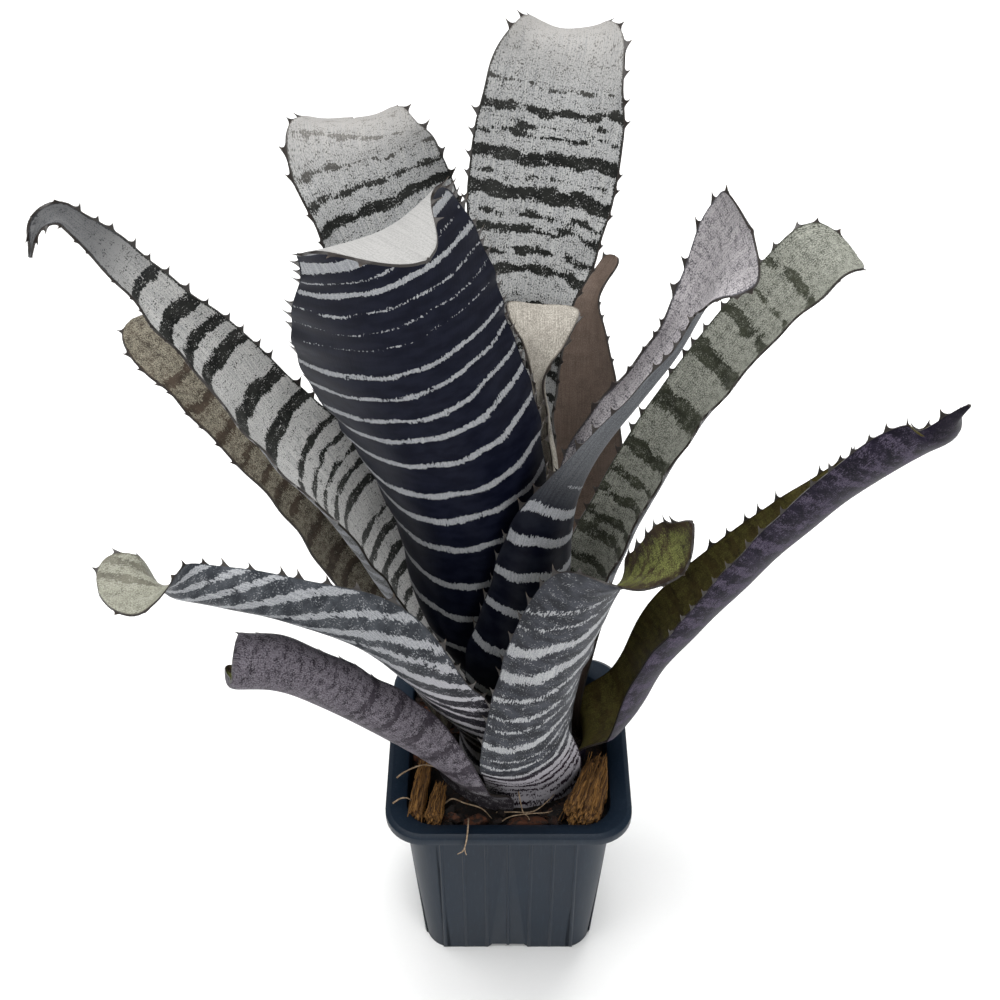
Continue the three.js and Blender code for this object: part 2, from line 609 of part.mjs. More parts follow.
// A rough torn lump: a box-like ball with its points pushed about, cut flat where it rests on the mix.
function huskPiece({ name, colour, at, half, turn, tilt, seed }) {
  const random = randomFrom(seed);
  const body = new Body();
  const rings = [];
  for (let b = 1; b <= HUSK_BANDS; b += 1) {
    const up = -Math.cos(Math.PI * b / (HUSK_BANDS + 1));
    const ring = [];
    for (let k = 0; k < HUSK_SIDES; k += 1) {
      const angle = 2 * Math.PI * k / HUSK_SIDES;
      const squareness = Math.max(Math.abs(Math.cos(angle)), Math.abs(Math.sin(angle))) ** -0.6;
      const reach = (1 - up * up) ** 0.25 * squareness * (1 + HUSK_ROUGH * (random() - 0.6));
      const height = half[2] * up * (1 + HUSK_ROUGH * (random() - 0.5));
      const [x, y] = [half[0] * reach * Math.cos(angle), half[1] * reach * Math.sin(angle)];
      ring.push(new THREE.Vector3(x, y, height));
    }
    rings.push(ring);
  }
  const place = (p) => {
    p.applyAxisAngle(new THREE.Vector3(1, 0, 0), radians(tilt));
    p.applyAxisAngle(new THREE.Vector3(0, 0, 1), radians(turn));
    return body.point(p.add(new THREE.Vector3(...at)));
  };
  const lowest = place(new THREE.Vector3(0, 0, -half[2]));
  const indices = rings.map((ring) => ring.map(place));
  const highest = place(new THREE.Vector3(0, 0, half[2]));
  for (let k = 0; k < HUSK_SIDES; k += 1) {
    const next = (k + 1) % HUSK_SIDES;
    body.face(lowest, indices[0][next], indices[0][k]);
    for (let b = 0; b < HUSK_BANDS - 1; b += 1) {
      body.quad(indices[b][k], indices[b][next], indices[b + 1][next], indices[b + 1][k]);
    }
    body.face(indices[HUSK_BANDS - 1][k], indices[HUSK_BANDS - 1][next], highest);
  }
  const under = new THREE.BoxGeometry(RIM_SIDE, RIM_SIDE, MIX_LEVEL);
  under.translate(at[0], at[1], MIX_LEVEL / 2 + FIT_GAP);
  const resting = solidOf(body.geometry()).subtract(solidOf(under));
  return piece(name, solidGeometry(resting), colour, 0.95);
}

const model = new THREE.Group();
model.name = 'potted_aechmea_hybrid';
model.add(potPiece(), mixPiece(), ...HUSKS.map(huskPiece), ...LEAVES.map(leafPiece));

export default model;
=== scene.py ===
"""Looks of a potted banded tank bromeliad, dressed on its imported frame.

The tables of the plant and the shaping functions count in millimetres, as the frame's source does. new_mesh
turns the points into Blender's metres.
"""

import math
import random

import bmesh
import bpy
import numpy as np
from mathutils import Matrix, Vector, noise


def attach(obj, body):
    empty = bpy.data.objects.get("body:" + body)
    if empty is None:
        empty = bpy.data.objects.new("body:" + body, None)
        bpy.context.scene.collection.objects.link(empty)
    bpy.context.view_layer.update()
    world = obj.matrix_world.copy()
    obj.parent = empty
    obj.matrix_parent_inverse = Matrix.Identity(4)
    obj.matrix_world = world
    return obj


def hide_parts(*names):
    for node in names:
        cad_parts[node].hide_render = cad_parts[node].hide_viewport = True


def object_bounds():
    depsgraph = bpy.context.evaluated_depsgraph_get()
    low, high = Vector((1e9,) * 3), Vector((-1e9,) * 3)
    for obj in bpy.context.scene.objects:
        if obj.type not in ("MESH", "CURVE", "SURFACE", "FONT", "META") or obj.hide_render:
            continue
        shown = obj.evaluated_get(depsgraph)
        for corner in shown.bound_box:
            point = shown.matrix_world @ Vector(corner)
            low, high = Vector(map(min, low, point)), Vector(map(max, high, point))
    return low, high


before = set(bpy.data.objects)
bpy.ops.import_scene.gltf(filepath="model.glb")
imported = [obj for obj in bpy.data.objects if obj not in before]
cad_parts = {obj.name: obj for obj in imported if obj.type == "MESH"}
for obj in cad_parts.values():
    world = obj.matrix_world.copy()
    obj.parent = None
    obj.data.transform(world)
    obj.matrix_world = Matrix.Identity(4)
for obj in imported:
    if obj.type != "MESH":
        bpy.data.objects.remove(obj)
cad_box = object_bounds()

MM = 0.001

# Camera, fitted to the rim and the foot of the square pot
CAMERA_PLACE = (-3.5, -437, 595)
CAMERA_PITCH = 40
FOCAL_LENGTH = 56
SENSOR_WIDTH = 36

# Studio, in metres and watts. A softbox has its name, place, side, power, and whether the leaves mirror it.
FLOOR_SIDE = 14
SKY_COLOUR = "#f4f6f8"
SKY_STRENGTH = 0.28
LIGHTS_AIM = (0, 0, 0.2)
SOFTBOXES = [
    ("key_softbox", (-0.3, 0, 1.65), 1.4, 34, True),
    ("fill_softbox", (0.7, -1.3, 0.8), 1, 11, True),
    ("back_softbox", (0.3, 1.2, 1.3), 1.2, 18, False),
]

# Rosette and pot, as in the frame
ROSETTE_X = 4
ROSETTE_Y = 6
MIX_LEVEL = 86
LEAF_BASE = 81.3
POT_HEIGHT = 95
RIM_SIDE = 100
RIM_CORNER = 16
RIM_FALL = 1.2
SHOULDER_SIDE = 86
SHOULDER_CORNER = 13
SHOULDER_HEIGHT = 90.4
FOOT_SIDE = 72
FOOT_CORNER = 11
CORNER_STEPS = 10
WALL = 1.4
EDGE_ROUND = 0.35
EDGE_ANGLE = 38
RIM_CROWN_INSET = 2
RIM_INNER_OUTSET = 1
RIBS_ON_A_FACE = 7
RIB_SPACING = 9.2
RIB_PROUD = 0.5
RIB_FOOT_HALF = 0.8
RIB_TOP_HALF = 0.35
RIB_START = 1
RIB_END = 86
RIB_FADE = 88
NOTCH_TOP_WIDTH = 14
NOTCH_FOOT_WIDTH = 19
NOTCH_RISE = 2.4
NOTCH_DEPTH = 12
CUTTER_BELOW = 1
CUTTER_OUT = 2
FLOOR_TOP = 4.4
FIT_GAP = 0.3
BED_REACH = 40.6
BED_STEPS = 90
BED_SINK = 0.4
BED_EDGE_DROP = 2.5
BED_EDGE_SHARE = 0.1
BED_LUMPS_END = 8

# Lumps of the bed: height, size and seed
BED_LUMPS = [(0.9, 9, 3.1), (0.45, 2.6, 7.7)]

# Crumbs of bark on the bed. They keep clear of the lowest stretch of each leaf.
CRUMBS = 620
CRUMB_SEED = 41
CRUMB_KINDS = 7
CRUMB_SIZES = (3, 4, 4, 5, 6, 8)
CRUMB_SLIMNESS = 0.62
CRUMB_LOWEST = 0.6
CRUMB_LAYER = 2.4
CRUMB_WALL_GAP = 1.5
LEAF_FOOT_LENGTH = 24

# Torn husks and bark chips of the frame: name, middle, half sizes, turn and tilt in degrees
HUSKS = [
    ("husk_chunk_right", (33.6, -25, 92.4), (5.8, 14.6, 6.4), -20, 10),
    ("husk_strip_left_1", (-36.2, -22, 90.6), (2.6, 15, 4.2), -7, 4),
    ("husk_strip_left_2", (-29.4, -29.6, 90.3), (2.6, 9.5, 4), -8, 0),
    ("bark_chip_front_1", (7, -37.5, 88.6), (8, 2.6, 2.2), 4, 0),
    ("bark_chip_front_2", (-14, -37, 88.4), (4.6, 2.8, 2), 30, 0),
]

HUSK_TAPER = 0.2
HUSK_CUTS = 31
HUSK_TORN = 0.34
CHIP_TORN = 0.12
CHIP_TONE = 0.75
STRANDS_LEAST = 30
STRANDS_FOR_WIDTH = 11
STRAND_THICK = (0.3, 0.6)
STRAND_STEPS = 9
STRAND_SIDES = 4

# Roots as routes with their thickness
ROOT_SIDES = 7
ROOT_STRIDE = 5
ROOTS = [
    ([(-46, -20, 95.8), (-43.5, -18.5, 97), (-40, -17, 98), (-35, -15, 98), (-29, -14, 94.5),
      (-25, -13, 88)], 0.7),
    ([(-16.5, -34, 87), (-16.2, -40, 94), (-16.2, -44.5, 96.6), (-16.4, -48, 96.4), (-17, -51, 93.5),
      (-18.2, -51.6, 89), (-20.5, -50.6, 85.5)], 0.75),
    ([(-17.6, -51.3, 91), (-17.4, -51.2, 88), (-17, -50.2, 84.5)], 0.55),
    ([(4, -29, 98), (5, -33, 95), (6, -35, 92), (8, -37, 91.5), (9, -39.5, 87)], 0.5),
    ([(-5, -37, 86), (0, -36.5, 91), (8, -35.5, 92), (15, -34.5, 91.5), (21, -29, 87)], 0.55),
    ([(-5, -30, 86), (1, -33, 90), (10, -33.5, 91), (17, -27, 91), (21, -18, 87)], 0.6),
    ([(39, -14, 88), (40, -20, 93), (39, -27, 95.5), (34, -35, 94), (26, -38, 90), (22, -39, 86)], 0.7),
    ([(-27, -26, 86), (-23, -27, 91), (-18, -30, 92), (-11, -32, 91), (-7, -33, 86)], 0.7),
    ([(-47, -33, 95.4), (-44, -31.5, 96.6), (-41, -30, 95), (-38, -29, 88)], 0.7),
]

# Blades
MID_THICK = 1.3
EDGE_THICK = 0.8
PATH_STEPS = 320
ROUTE_STEPS = 40
ROW_STEP = 1.7
COLUMN_STEP = 2.6
LEAST_WIDTH = 1.5

# Half width of a blade at which the bow of its bands counts in full
BOW_WIDTH = 30

# Steps in the noise that give each leaf, and each of its faces, a pattern of its own
LEAF_PATTERN_STEP = 40
FACE_PATTERN_STEP = 15

# Waves of a blade's margin, which die away towards its midrib
WAVE_LENGTH = 24
WAVE_HEIGHT = 0.7

# Thorns on the margins: rings of the hooked cone as (share of the height, share of the base)
THORN_RINGS = [(0.16, 0.66), (0.38, 0.36), (0.64, 0.18), (0.86, 0.08)]
THORN_HEIGHT = 3.1
THORN_BASE = 3.6
THORN_LEAN = 0.6
THORN_SPACING_BASE = 12
THORN_SPACING_TIP = 6.5
THORNS_END = 0.985

# The leaves of the frame, with the same forms. facing is the way the leaf leans, in degrees from +X seen from
# above, level the radius of the sheath, wrap how far round the heart it reaches on each side in degrees, rise
# how high above the mix it stays upright. The teeth start at teeth_from and the round end at tip, as shares
# of the length, and a high roundness makes that end blunt.
# A station is x, y, z of the midrib, the flat width, half the angle of the channel, and the twist.
# outer and inner name the skins of the faces. A face's bands are listed with their middles and widths, or
# they are spaced by the rule as far as the first listed one, or else as far as plain_from, a share of the
# length. slant leans the bands to one side, more towards the tip, and bow curves them. A twist, a slant, a
# bow or a list of bands that is left out is none.
LEAVES = {
    "leaf_01_heart": dict(
        facing=95, level=8, wrap=140, rise=30, teeth_from=0.75, tip=0.95, roundness=4,
        stations=[
            (8, 11, 190, 32, 140), (12, 10, 237, 24, 145), (11, 9, 260, 14, 140), (10, 8, 273, 8, 120),
            (10, 9, 283, 9, 70), (11, 12, 291, 18, 44), (11, 17, 296, 27, 32), (11, 24, 297, 28, 22),
        ],
        outer="heart", inner="heart", spacing=11, band_width=2, plain_from=0.8),
    "leaf_02_tall_back": dict(
        facing=80, level=10.5, wrap=95, rise=30, teeth_from=0.45, tip=0.88, roundness=1.6,
        stations=[
            (6, 24, 180, 44, 80), (6, 30, 240, 30, 66), (6, 33, 288, 36, 50), (9, 40, 315, 50, 42),
            (13, 50, 340, 55, 38), (16, 59, 362, 50, 34), (19, 67, 373, 45, 34), (20, 78, 374, 40, 32),
            (21, 92, 367, 34, 22),
        ],
        outer="smoke", inner="silver", spacing=8, band_width=3, plain_from=0.88,
        inner_bands=[(224, 3), (230.5, 2.2), (238, 2.5), (243, 1.5), (250.5, 5), (256, 0.4), (263, 4.5),
            (270.5, 1.4), (274, 0.2), (279, 2.6), (286.5, 0.6)]),
    "leaf_03_front": dict(
        facing=258, level=13, wrap=80, rise=30, teeth_from=0.35, tip=0.93, roundness=1.6,
        stations=[
            (-14, -14, 168, 66, 74), (-17, -21, 217, 73, 68, -3), (-23, -38, 277, 76, 54, -12),
            (-30, -56, 321, 71, 44, -19), (-31, -75, 356, 62, 37, -24), (-31, -89, 380, 50, 33, -28),
            (-33, -102, 398, 42, 27, -32), (-31, -114, 406, 33, 20, -35), (-20, -127, 407, 26, 12, -35),
        ],
        outer="night", inner="white", spacing=16, band_width=3.4, slant=0.25, bow=0.1, plain_from=0.9,
        outer_bands=[(35, 3.6), (50, 3.6), (66, 3.4), (86, 3.4), (106, 3.4), (125, 3.6), (147, 3.2),
            (165, 3.4), (180.5, 3.2), (200, 2.8), (216, 2.8), (229, 2.6), (244, 2.2), (258, 2.8),
            (277, 0.2), (288, 0.4), (300, 1), (312, 3), (321, 1), (333, 7), (352, 5)]),
    "leaf_04_back_left": dict(
        facing=125, level=15.5, wrap=48, rise=28, teeth_from=0.45, tip=0.88, roundness=1.6,
        stations=[
            (-13, 28, 180, 46, 62), (-24, 34, 249, 56, 62), (-32, 42, 277, 58, 52),
            (-39, 48, 296, 59, 44), (-46, 54, 313, 60, 40), (-52, 60, 329, 58, 36, 6),
            (-55, 66, 337, 54, 32, 14), (-56, 76, 340, 48, 26, 22), (-57, 92, 334, 38, 18, 26),
        ],
        outer="smoke", inner="silver", spacing=9, band_width=3.4, plain_from=0.88,
        inner_bands=[(247, 3.5), (255, 2), (263, 1), (272, 1.4), (281, 0.3)]),
    "leaf_05_rolled_right": dict(
        facing=300, level=18, wrap=85, rise=26, teeth_from=0.35, tip=0.975, roundness=4,
        stations=[
            (9, -29, 165, 58, 88), (14, -33, 205, 50, 90), (18, -32, 240, 40, 90, -12),
            (28, -25, 266, 27, 96, -50), (43, -17, 288, 20, 108, -78), (55, -13, 306, 18, 95, -84),
            (62, -11, 322, 22, 66, -76), (65, -13, 332, 29, 44, -72), (68, -16, 342, 34, 26, -78),
            (73, -22, 354, 33, 12, -88),
        ],
        outer="dusk", inner="mauve", spacing=17, band_width=4, plain_from=0.7,
        outer_bands=[(105, 4), (127, 4), (145, 4), (160, 4), (172, 4), (183, 1)]),
    "leaf_06_left": dict(
        facing=180, level=20.5, wrap=42, rise=24, teeth_from=0.4, tip=0.88, roundness=1.6,
        stations=[
            (-38, 12, 153, 46, 46), (-54, 13, 186, 54, 50), (-69, 10, 224, 52, 54, 8),
            (-87, 7, 257, 40, 52, 20), (-102, 4, 288, 29, 50, 30), (-117, -1, 315, 19, 50, 38),
            (-129, -5, 336, 14, 50, 40), (-136, -8, 347, 11, 54, 40), (-141, -10, 353, 10, 60, 40),
            (-146, -14, 352, 9, 70, 40), (-150, -18, 342, 7, 75, 40),
        ],
        outer="smoke", inner="pewter", spacing=9, band_width=3.4, plain_from=0.86,
        inner_bands=[(138, 4), (147, 3), (155, 2.5), (163, 2.5), (172, 3), (189, 7), (206, 7), (227, 6),
            (238, 5), (250, 7), (267, 4)]),
    "leaf_07_right": dict(
        facing=25, level=22.5, wrap=58, rise=24, teeth_from=0.4, tip=0.95, roundness=2.4,
        stations=[
            (34, 22, 157, 42, 66), (46, 26, 194, 36, 64), (58, 32, 221, 34, 58), (74, 40, 247, 33, 50),
            (92, 48, 270, 34, 44), (108, 54, 288, 36, 38), (118, 58, 296, 36, 30), (128, 61, 295, 32, 20),
        ],
        outer="smoke", inner="moss", spacing=11, band_width=4, plain_from=0.93,
        inner_bands=[(113, 4), (124, 4), (134, 3), (146, 6), (168, 8), (190, 7), (207, 4.5), (219, 0.6),
            (231, 3)]),
    "leaf_08_left_middle": dict(
        facing=218, level=25, wrap=36, rise=18, teeth_from=0.35, tip=0.95, roundness=2.4,
        stations=[
            (-27, -29, 147, 52, 46, -14), (-41, -40, 179, 60, 58, -6), (-56, -46, 201, 54, 62, -30),
            (-76, -49, 217, 32, 60, -50), (-95, -52, 228, 23, 60, -68), (-110, -55, 235, 20, 50, -66),
            (-121, -59, 240, 28, 28, 10), (-135, -66, 243, 33, 16, 14),
        ],
        outer="ash", inner="straw", spacing=12, band_width=5, slant=-1.9, plain_from=0.97),
    "leaf_09_old_brown": dict(
        facing=62, level=27, wrap=50, rise=16, teeth_from=0.5, tip=0.97, roundness=3,
        stations=[
            (31, 62, 162, 48, 46), (30, 74, 191, 46, 42), (30, 82, 213, 42, 38), (30, 91, 234, 30, 36),
            (32, 99, 248, 17, 40, 10), (38, 106, 257, 12, 36, 30), (44, 110, 265, 13, 20, 40),
        ],
        outer="tan", inner="tan", spacing=16, band_width=0.4, plain_from=0.6),
    "leaf_10_purple": dict(
        facing=355, level=29, wrap=38, rise=12, teeth_from=0.4, tip=0.97, roundness=2,
        stations=[
            (49, 3, 110, 46, 46), (65, 0, 149, 52, 64, 4), (86, -4, 185, 52, 66, 12),
            (108, -10, 222, 46, 68, 24), (128, -16, 251, 44, 64, 36), (141, -20, 266, 40, 62, 46),
            (147, -22, 273, 28, 60, 50), (148, -24, 283, 9, 70, 50), (151, -25, 290, 5, 70, 50),
        ],
        outer="plum", inner="fern", spacing=13, band_width=4, plain_from=0.9),
    "leaf_11_olive": dict(
        facing=150, level=31, wrap=42, rise=10, teeth_from=0.7, tip=0.94, roundness=1.6,
        stations=[
            (-46, 30, 143, 46, 42), (-65, 33, 174, 42, 36), (-83, 38, 205, 38, 32),
            (-105, 45, 231, 36, 30), (-123, 53, 249, 34, 28), (-138, 60, 260, 30, 22),
            (-145, 65, 264, 26, 18),
        ],
        outer="olive", inner="olive", spacing=12, band_width=3.5, plain_from=0.9),
    "leaf_12_front_right": dict(
        facing=284, level=33, wrap=38, rise=10, teeth_from=0.3, tip=0.88, roundness=1.6,
        stations=[
            (9, -43, 134, 41, 43, -8), (13, -50, 172, 40, 54, -4), (20, -56, 211, 38, 56, 2),
            (30, -60, 237, 36, 62, -7), (40, -64, 247, 24, 62, -46), (47, -67, 257, 24, 40, -72),
            (54, -69, 267, 25, 30, -92), (56, -71, 279, 14, 30, -104),
        ],
        outer="slate", inner="lime", spacing=11, band_width=4, slant=1.4, bow=0.4, plain_from=0.9,
        outer_bands=[(3, 3.5), (8.5, 4), (14, 3), (19.5, 4), (26, 3), (33, 6), (44, 4), (55, 1.5),
            (62, 1.2), (72, 3.5), (84, 1.2), (92, 2), (104, 2.5), (118, 6), (134, 5), (147, 1.2),
            (157, 1.6)]),
    "leaf_13_low_left": dict(
        facing=228, level=35.5, wrap=38, rise=6, teeth_from=0.6, tip=0.97, roundness=1.6,
        stations=[
            (-24, -25, 103, 40, 46, 12), (-32, -34, 123, 37, 72), (-47, -43, 149, 38, 106, -35),
            (-65, -51, 175, 38, 118, -50), (-82, -57, 192, 40, 120, -60), (-97, -63, 199, 42, 118, -60),
        ],
        outer="heather", inner="lime", spacing=12, band_width=2.5, plain_from=0.95,
        outer_bands=[(6, 10), (17, 7), (27, 5), (40, 4), (54, 4), (68, 4), (83, 4), (97, 4)]),
}


def eased(values, place):
    """Values of one column of the stations at places counted in stations, eased through their neighbours."""
    last = len(values) - 1
    index = np.clip(place.astype(int), 0, last - 1)
    u = place - index
    before, start, end, after = (values[np.clip(index + k, 0, last)] for k in (-1, 0, 1, 2))
    slope_in, slope_out = (end - before) / 2, (after - start) / 2
    return ((2 * u**3 - 3 * u**2 + 1) * start + (u**3 - 2 * u**2 + u) * slope_in
            + (3 * u**2 - 2 * u**3) * end + (u**3 - u**2) * slope_out)


def smooth_route(points):
    """A curve through the points, and for each of its points its place counted in stations."""
    padded = np.vstack([2 * points[0] - points[1], points, 2 * points[-1] - points[-2]])
    route = []
    for k in range(len(points) - 1):
        a, b, c, d = padded[k:k + 4]
        ab, bc, cd = (max(np.linalg.norm(q - p) ** 0.5, 1e-4) for p, q in ((a, b), (b, c), (c, d)))
        leave = ((b - a) / ab - (c - a) / (ab + bc) + (c - b) / bc) * bc
        arrive = ((c - b) / bc - (d - b) / (bc + cd) + (d - c) / cd) * bc
        for u in np.arange(ROUTE_STEPS) / ROUTE_STEPS:
            bend = (-3 * b + 3 * c - 2 * leave - arrive) * u**2 + (2 * b - 2 * c + leave + arrive) * u**3
            route.append(b + leave * u + bend)
    route.append(points[-1])
    return np.array(route), np.arange(len(route)) / ROUTE_STEPS


class Blade:
    """A leaf's blade as a function: t runs along it from 0 to 1, v across it from -1 to 1."""

    def __init__(self, leaf, seed):
        turn = math.radians(leaf["facing"])
        outward = np.array([math.cos(turn), math.sin(turn), 0])
        foot = np.array([ROSETTE_X, ROSETTE_Y, 0]) + outward * leaf["level"]
        sheath = 2 * math.radians(leaf["wrap"]) * leaf["level"]
        rows = np.array([
            (foot[0], foot[1], LEAF_BASE, sheath, leaf["wrap"], 0),
            (foot[0], foot[1], MIX_LEVEL + leaf["rise"], sheath, leaf["wrap"], 0),
            *[(*station, 0)[:6] for station in leaf["stations"]]], float)
        route, stations = smooth_route(rows[:, :3])
        travelled = np.concatenate([[0], np.cumsum(np.linalg.norm(np.diff(route, axis=0), axis=1))])
        self.length = travelled[-1]
        self.leaf = leaf
        self.seed = seed
        self.steps = np.linspace(0, 1, PATH_STEPS + 1)
        place = np.interp(self.steps * self.length, travelled, stations)
        self.centre = np.stack([np.interp(self.steps * self.length, travelled, c) for c in route.T], -1)
        along = np.gradient(self.centre, axis=0)
        self.along = along / np.linalg.norm(along, axis=1)[:, None]
        straight = np.empty_like(self.along)
        toward = -outward
        for k, direction in enumerate(self.along):
            toward = toward - direction * toward.dot(direction)
            toward /= np.linalg.norm(toward)
            straight[k] = toward
        twist = np.radians(eased(rows[:, 5], place))[:, None]
        across = np.cross(straight, self.along)
        self.inward = straight * np.cos(twist) + across * np.sin(twist)
        self.across = across * np.cos(twist) - straight * np.sin(twist)
        self.half = np.radians(np.maximum(eased(rows[:, 4], place), 2))
        tipward = np.clip((self.steps - leaf["tip"]) / (1 - leaf["tip"]), 0, 1)
        taper = np.sqrt(np.maximum(1 - tipward ** leaf["roundness"], 0))
        self.width = np.maximum(eased(rows[:, 3], place) * taper, LEAST_WIDTH)

    def sampled(self, values, t):
        """Values kept for the steps of the path, at any t."""
        if values.ndim == 1:
            return np.interp(t, self.steps, values)
        return np.stack([np.interp(t, self.steps, column) for column in values.T], -1)

    def wave(self, t, v):
        """How far the blade stands off its plain form, in millimetres."""
        phase = 2 * math.pi * t * self.length / WAVE_LENGTH + self.seed
        swell = np.sin(phase + 0.8 * v) * (0.6 + 0.4 * np.sin(0.37 * phase + 2 * self.seed))
        rolls = 0.25 * np.sin(0.61 * phase + 5 * v + self.seed)
        return (swell * np.abs(v) ** 3 * np.clip(4 * t - 0.6, 0, 1) + rolls) * WAVE_HEIGHT

    def points(self, t, v, side):
        """Points of the inner (side 1) or outer (side -1) face, a row for each t and a column for each v."""
        half = self.sampled(self.half, t)[:, None]
        radius = self.sampled(self.width, t)[:, None] / (2 * half)
        bend = half * v
        thick = EDGE_THICK + (MID_THICK - EDGE_THICK) * (1 - v * v)
        off = side * thick / 2 + self.wave(t[:, None], v)
        inwards = radius * (1 - np.cos(bend)) + off * np.cos(bend)
        sideways = radius * np.sin(bend) - off * np.sin(bend)
        axes = (self.centre, self.inward, self.across)
        centre, inward, across = (self.sampled(axis, t)[:, None] for axis in axes)
        return centre + inwards[..., None] * inward + sideways[..., None] * across

    def outwards(self, t, v):
        """Direction out of the margin v at t, in the blade's own surface."""
        half = self.sampled(self.half, t)
        inward, across = self.sampled(self.inward, t), self.sampled(self.across, t)
        return inward * math.sin(half) + across * v * math.cos(half)


def row_places(blade):
    """Shares of the length where the blade has a row of points. They crowd towards its round tip."""
    tip = blade.leaf["tip"]
    plain = np.linspace(0, tip, math.ceil(tip * blade.length / ROW_STEP), endpoint=False)
    crowded = 1 - np.linspace(1, 0, math.ceil(2 * (1 - tip) * blade.length / ROW_STEP), endpoint=False) ** 2
    return np.concatenate([plain, tip + (1 - tip) * crowded])


def thorn_spans(blade, rows, rng):
    """The thorns of one margin, each as the first and the last row of its base."""
    spans = []
    t = blade.leaf["teeth_from"] + 0.02 * rng.random()
    while t < THORNS_END:
        first = int(np.searchsorted(rows, t))
        last = int(np.searchsorted(rows, t + THORN_BASE * rng.uniform(0.75, 1.1) / blade.length))
        if last < len(rows) and last > first + 1:
            spans.append((first, last))
        spacing = THORN_SPACING_BASE + (THORN_SPACING_TIP - THORN_SPACING_BASE) * t
        t += spacing * rng.uniform(0.65, 1.35) / blade.length
    return spans


class Points:
    """Points with their place on the blade, and the faces between them with their material's number."""

    def __init__(self):
        self.at = []
        self.blade = []
        self.share = []
        self.faces = []
        self.kinds = []

    def add(self, at, blade, share):
        self.at.append(at)
        self.blade.append(blade)
        self.share.append(share)
        return len(self.at) - 1

    def face(self, corners, kind):
        self.faces.append(corners)
        self.kinds.append(kind)


OUTER, INNER, MARGIN = range(3)


def band_places(blade, face, rng):
    """Middles and widths of a face's cross bands: the listed ones, and others spaced by the leaf's rule."""
    leaf = blade.leaf
    places = list(leaf.get(face + "_bands", []))
    end = places[0][0] - 0.7 * leaf["spacing"] if places else leaf["plain_from"] * blade.length
    along = leaf["spacing"]
    while along < end:
        places.append((along, leaf["band_width"] * rng.uniform(0.7, 1.25)))
        along += leaf["spacing"] * rng.uniform(0.75, 1.25)
    return np.array(places)


def band_depth(blade, places, along, across):
    """How far each point lies inside a band, in millimetres; below zero it is outside."""
    sway = 0.7 * np.sin(across / 7 + along / 23 + blade.seed) + 0.4 * np.sin(across / 2.7 + along / 11)
    lean = blade.leaf.get("slant", 0) * along / blade.length * across
    bow = blade.leaf.get("bow", 0) * across * across / BOW_WIDTH
    along = along + sway - lean - bow
    return np.max(places[:, 1] / 2 - np.abs(along[..., None] - places[:, 0]), axis=-1)


def blade_grid(body, blade, rows, columns, side, places):
    """Adds the points of one face of the blade and gives their numbers by row and column."""
    at = blade.points(rows, columns, side)
    widths = blade.sampled(blade.width, rows)[:, None]
    across = columns * widths / 2
    along = rows[:, None] * blade.length + 0 * across
    edge = (1 - np.abs(columns)) * widths / 2
    depth = band_depth(blade, places, along, across)
    number = LEAF_PATTERN_STEP * blade.seed + FACE_PATTERN_STEP * side
    return [[body.add(at[i, j], (across[i, j], along[i, j], number), (edge[i, j], rows[i], depth[i, j]))
             for j in range(len(columns))] for i in range(len(rows))]


def add_thorn(body, blade, rows, span, side, ring, height):
    """A hooked thorn that grows out of the ring of points at its base."""
    middle = (rows[span[0]] + rows[span[1]]) / 2
    out = blade.outwards(middle, side)
    along = blade.sampled(blade.along, middle)
    base = np.mean([body.at[k] for k in ring], axis=0)
    start = [body.at[k] - base for k in ring]
    _, along_mm, _ = body.blade[ring[0]]

    def centre(h):
        return base + out * height * h + along * height * THORN_LEAN * h * h

    for h, scale in THORN_RINGS:
        place = ((height * h, along_mm, blade.seed), (-height * h, middle, 0))
        upper = [body.add(centre(h) + offset * scale, *place) for offset in start]
        for k in range(len(ring)):
            following = (k + 1) % len(ring)
            body.face((ring[k], ring[following], upper[following], upper[k]), MARGIN)
        ring = upper
    point = body.add(centre(1), (height, along_mm, blade.seed), (-height, middle, 0))
    for k in range(len(ring)):
        body.face((ring[k], ring[(k + 1) % len(ring)], point), MARGIN)


def leaf_points(blade):
    """The whole leaf as one closed body: two faces, the strip of its margin, and the thorns."""
    rng = random.Random(blade.seed)
    rows = row_places(blade)
    count = max(12, 2 * round(max(blade.width) / COLUMN_STEP / 2))
    columns = np.linspace(-1, 1, count + 1)
    body = Points()
    inner = blade_grid(body, blade, rows, columns, 1, band_places(blade, "inner", rng))
    outer = blade_grid(body, blade, rows, columns, -1, band_places(blade, "outer", rng))
    for grid, kind in ((inner, INNER), (outer, OUTER)):
        for lower, upper in zip(grid, grid[1:]):
            for j in range(count):
                body.face((lower[j], lower[j + 1], upper[j + 1], upper[j]), kind)
    for row in (0, -1):
        for j in range(count):
            body.face((inner[row][j], inner[row][j + 1], outer[row][j + 1], outer[row][j]), MARGIN)
    for j, side in ((0, -1), (count, 1)):
        spans = thorn_spans(blade, rows, rng)
        covered = {i for first, last in spans for i in range(first, last)}
        for i in range(len(rows) - 1):
            if i not in covered:
                body.face((inner[i][j], inner[i + 1][j], outer[i + 1][j], outer[i][j]), MARGIN)
        for first, last in spans:
            there = range(first, last + 1)
            ring = [inner[i][j] for i in there] + [outer[i][j] for i in reversed(there)]
            height = THORN_HEIGHT * rng.uniform(0.7, 1.1)
            add_thorn(body, blade, rows, (first, last), side, ring, height)
    return body


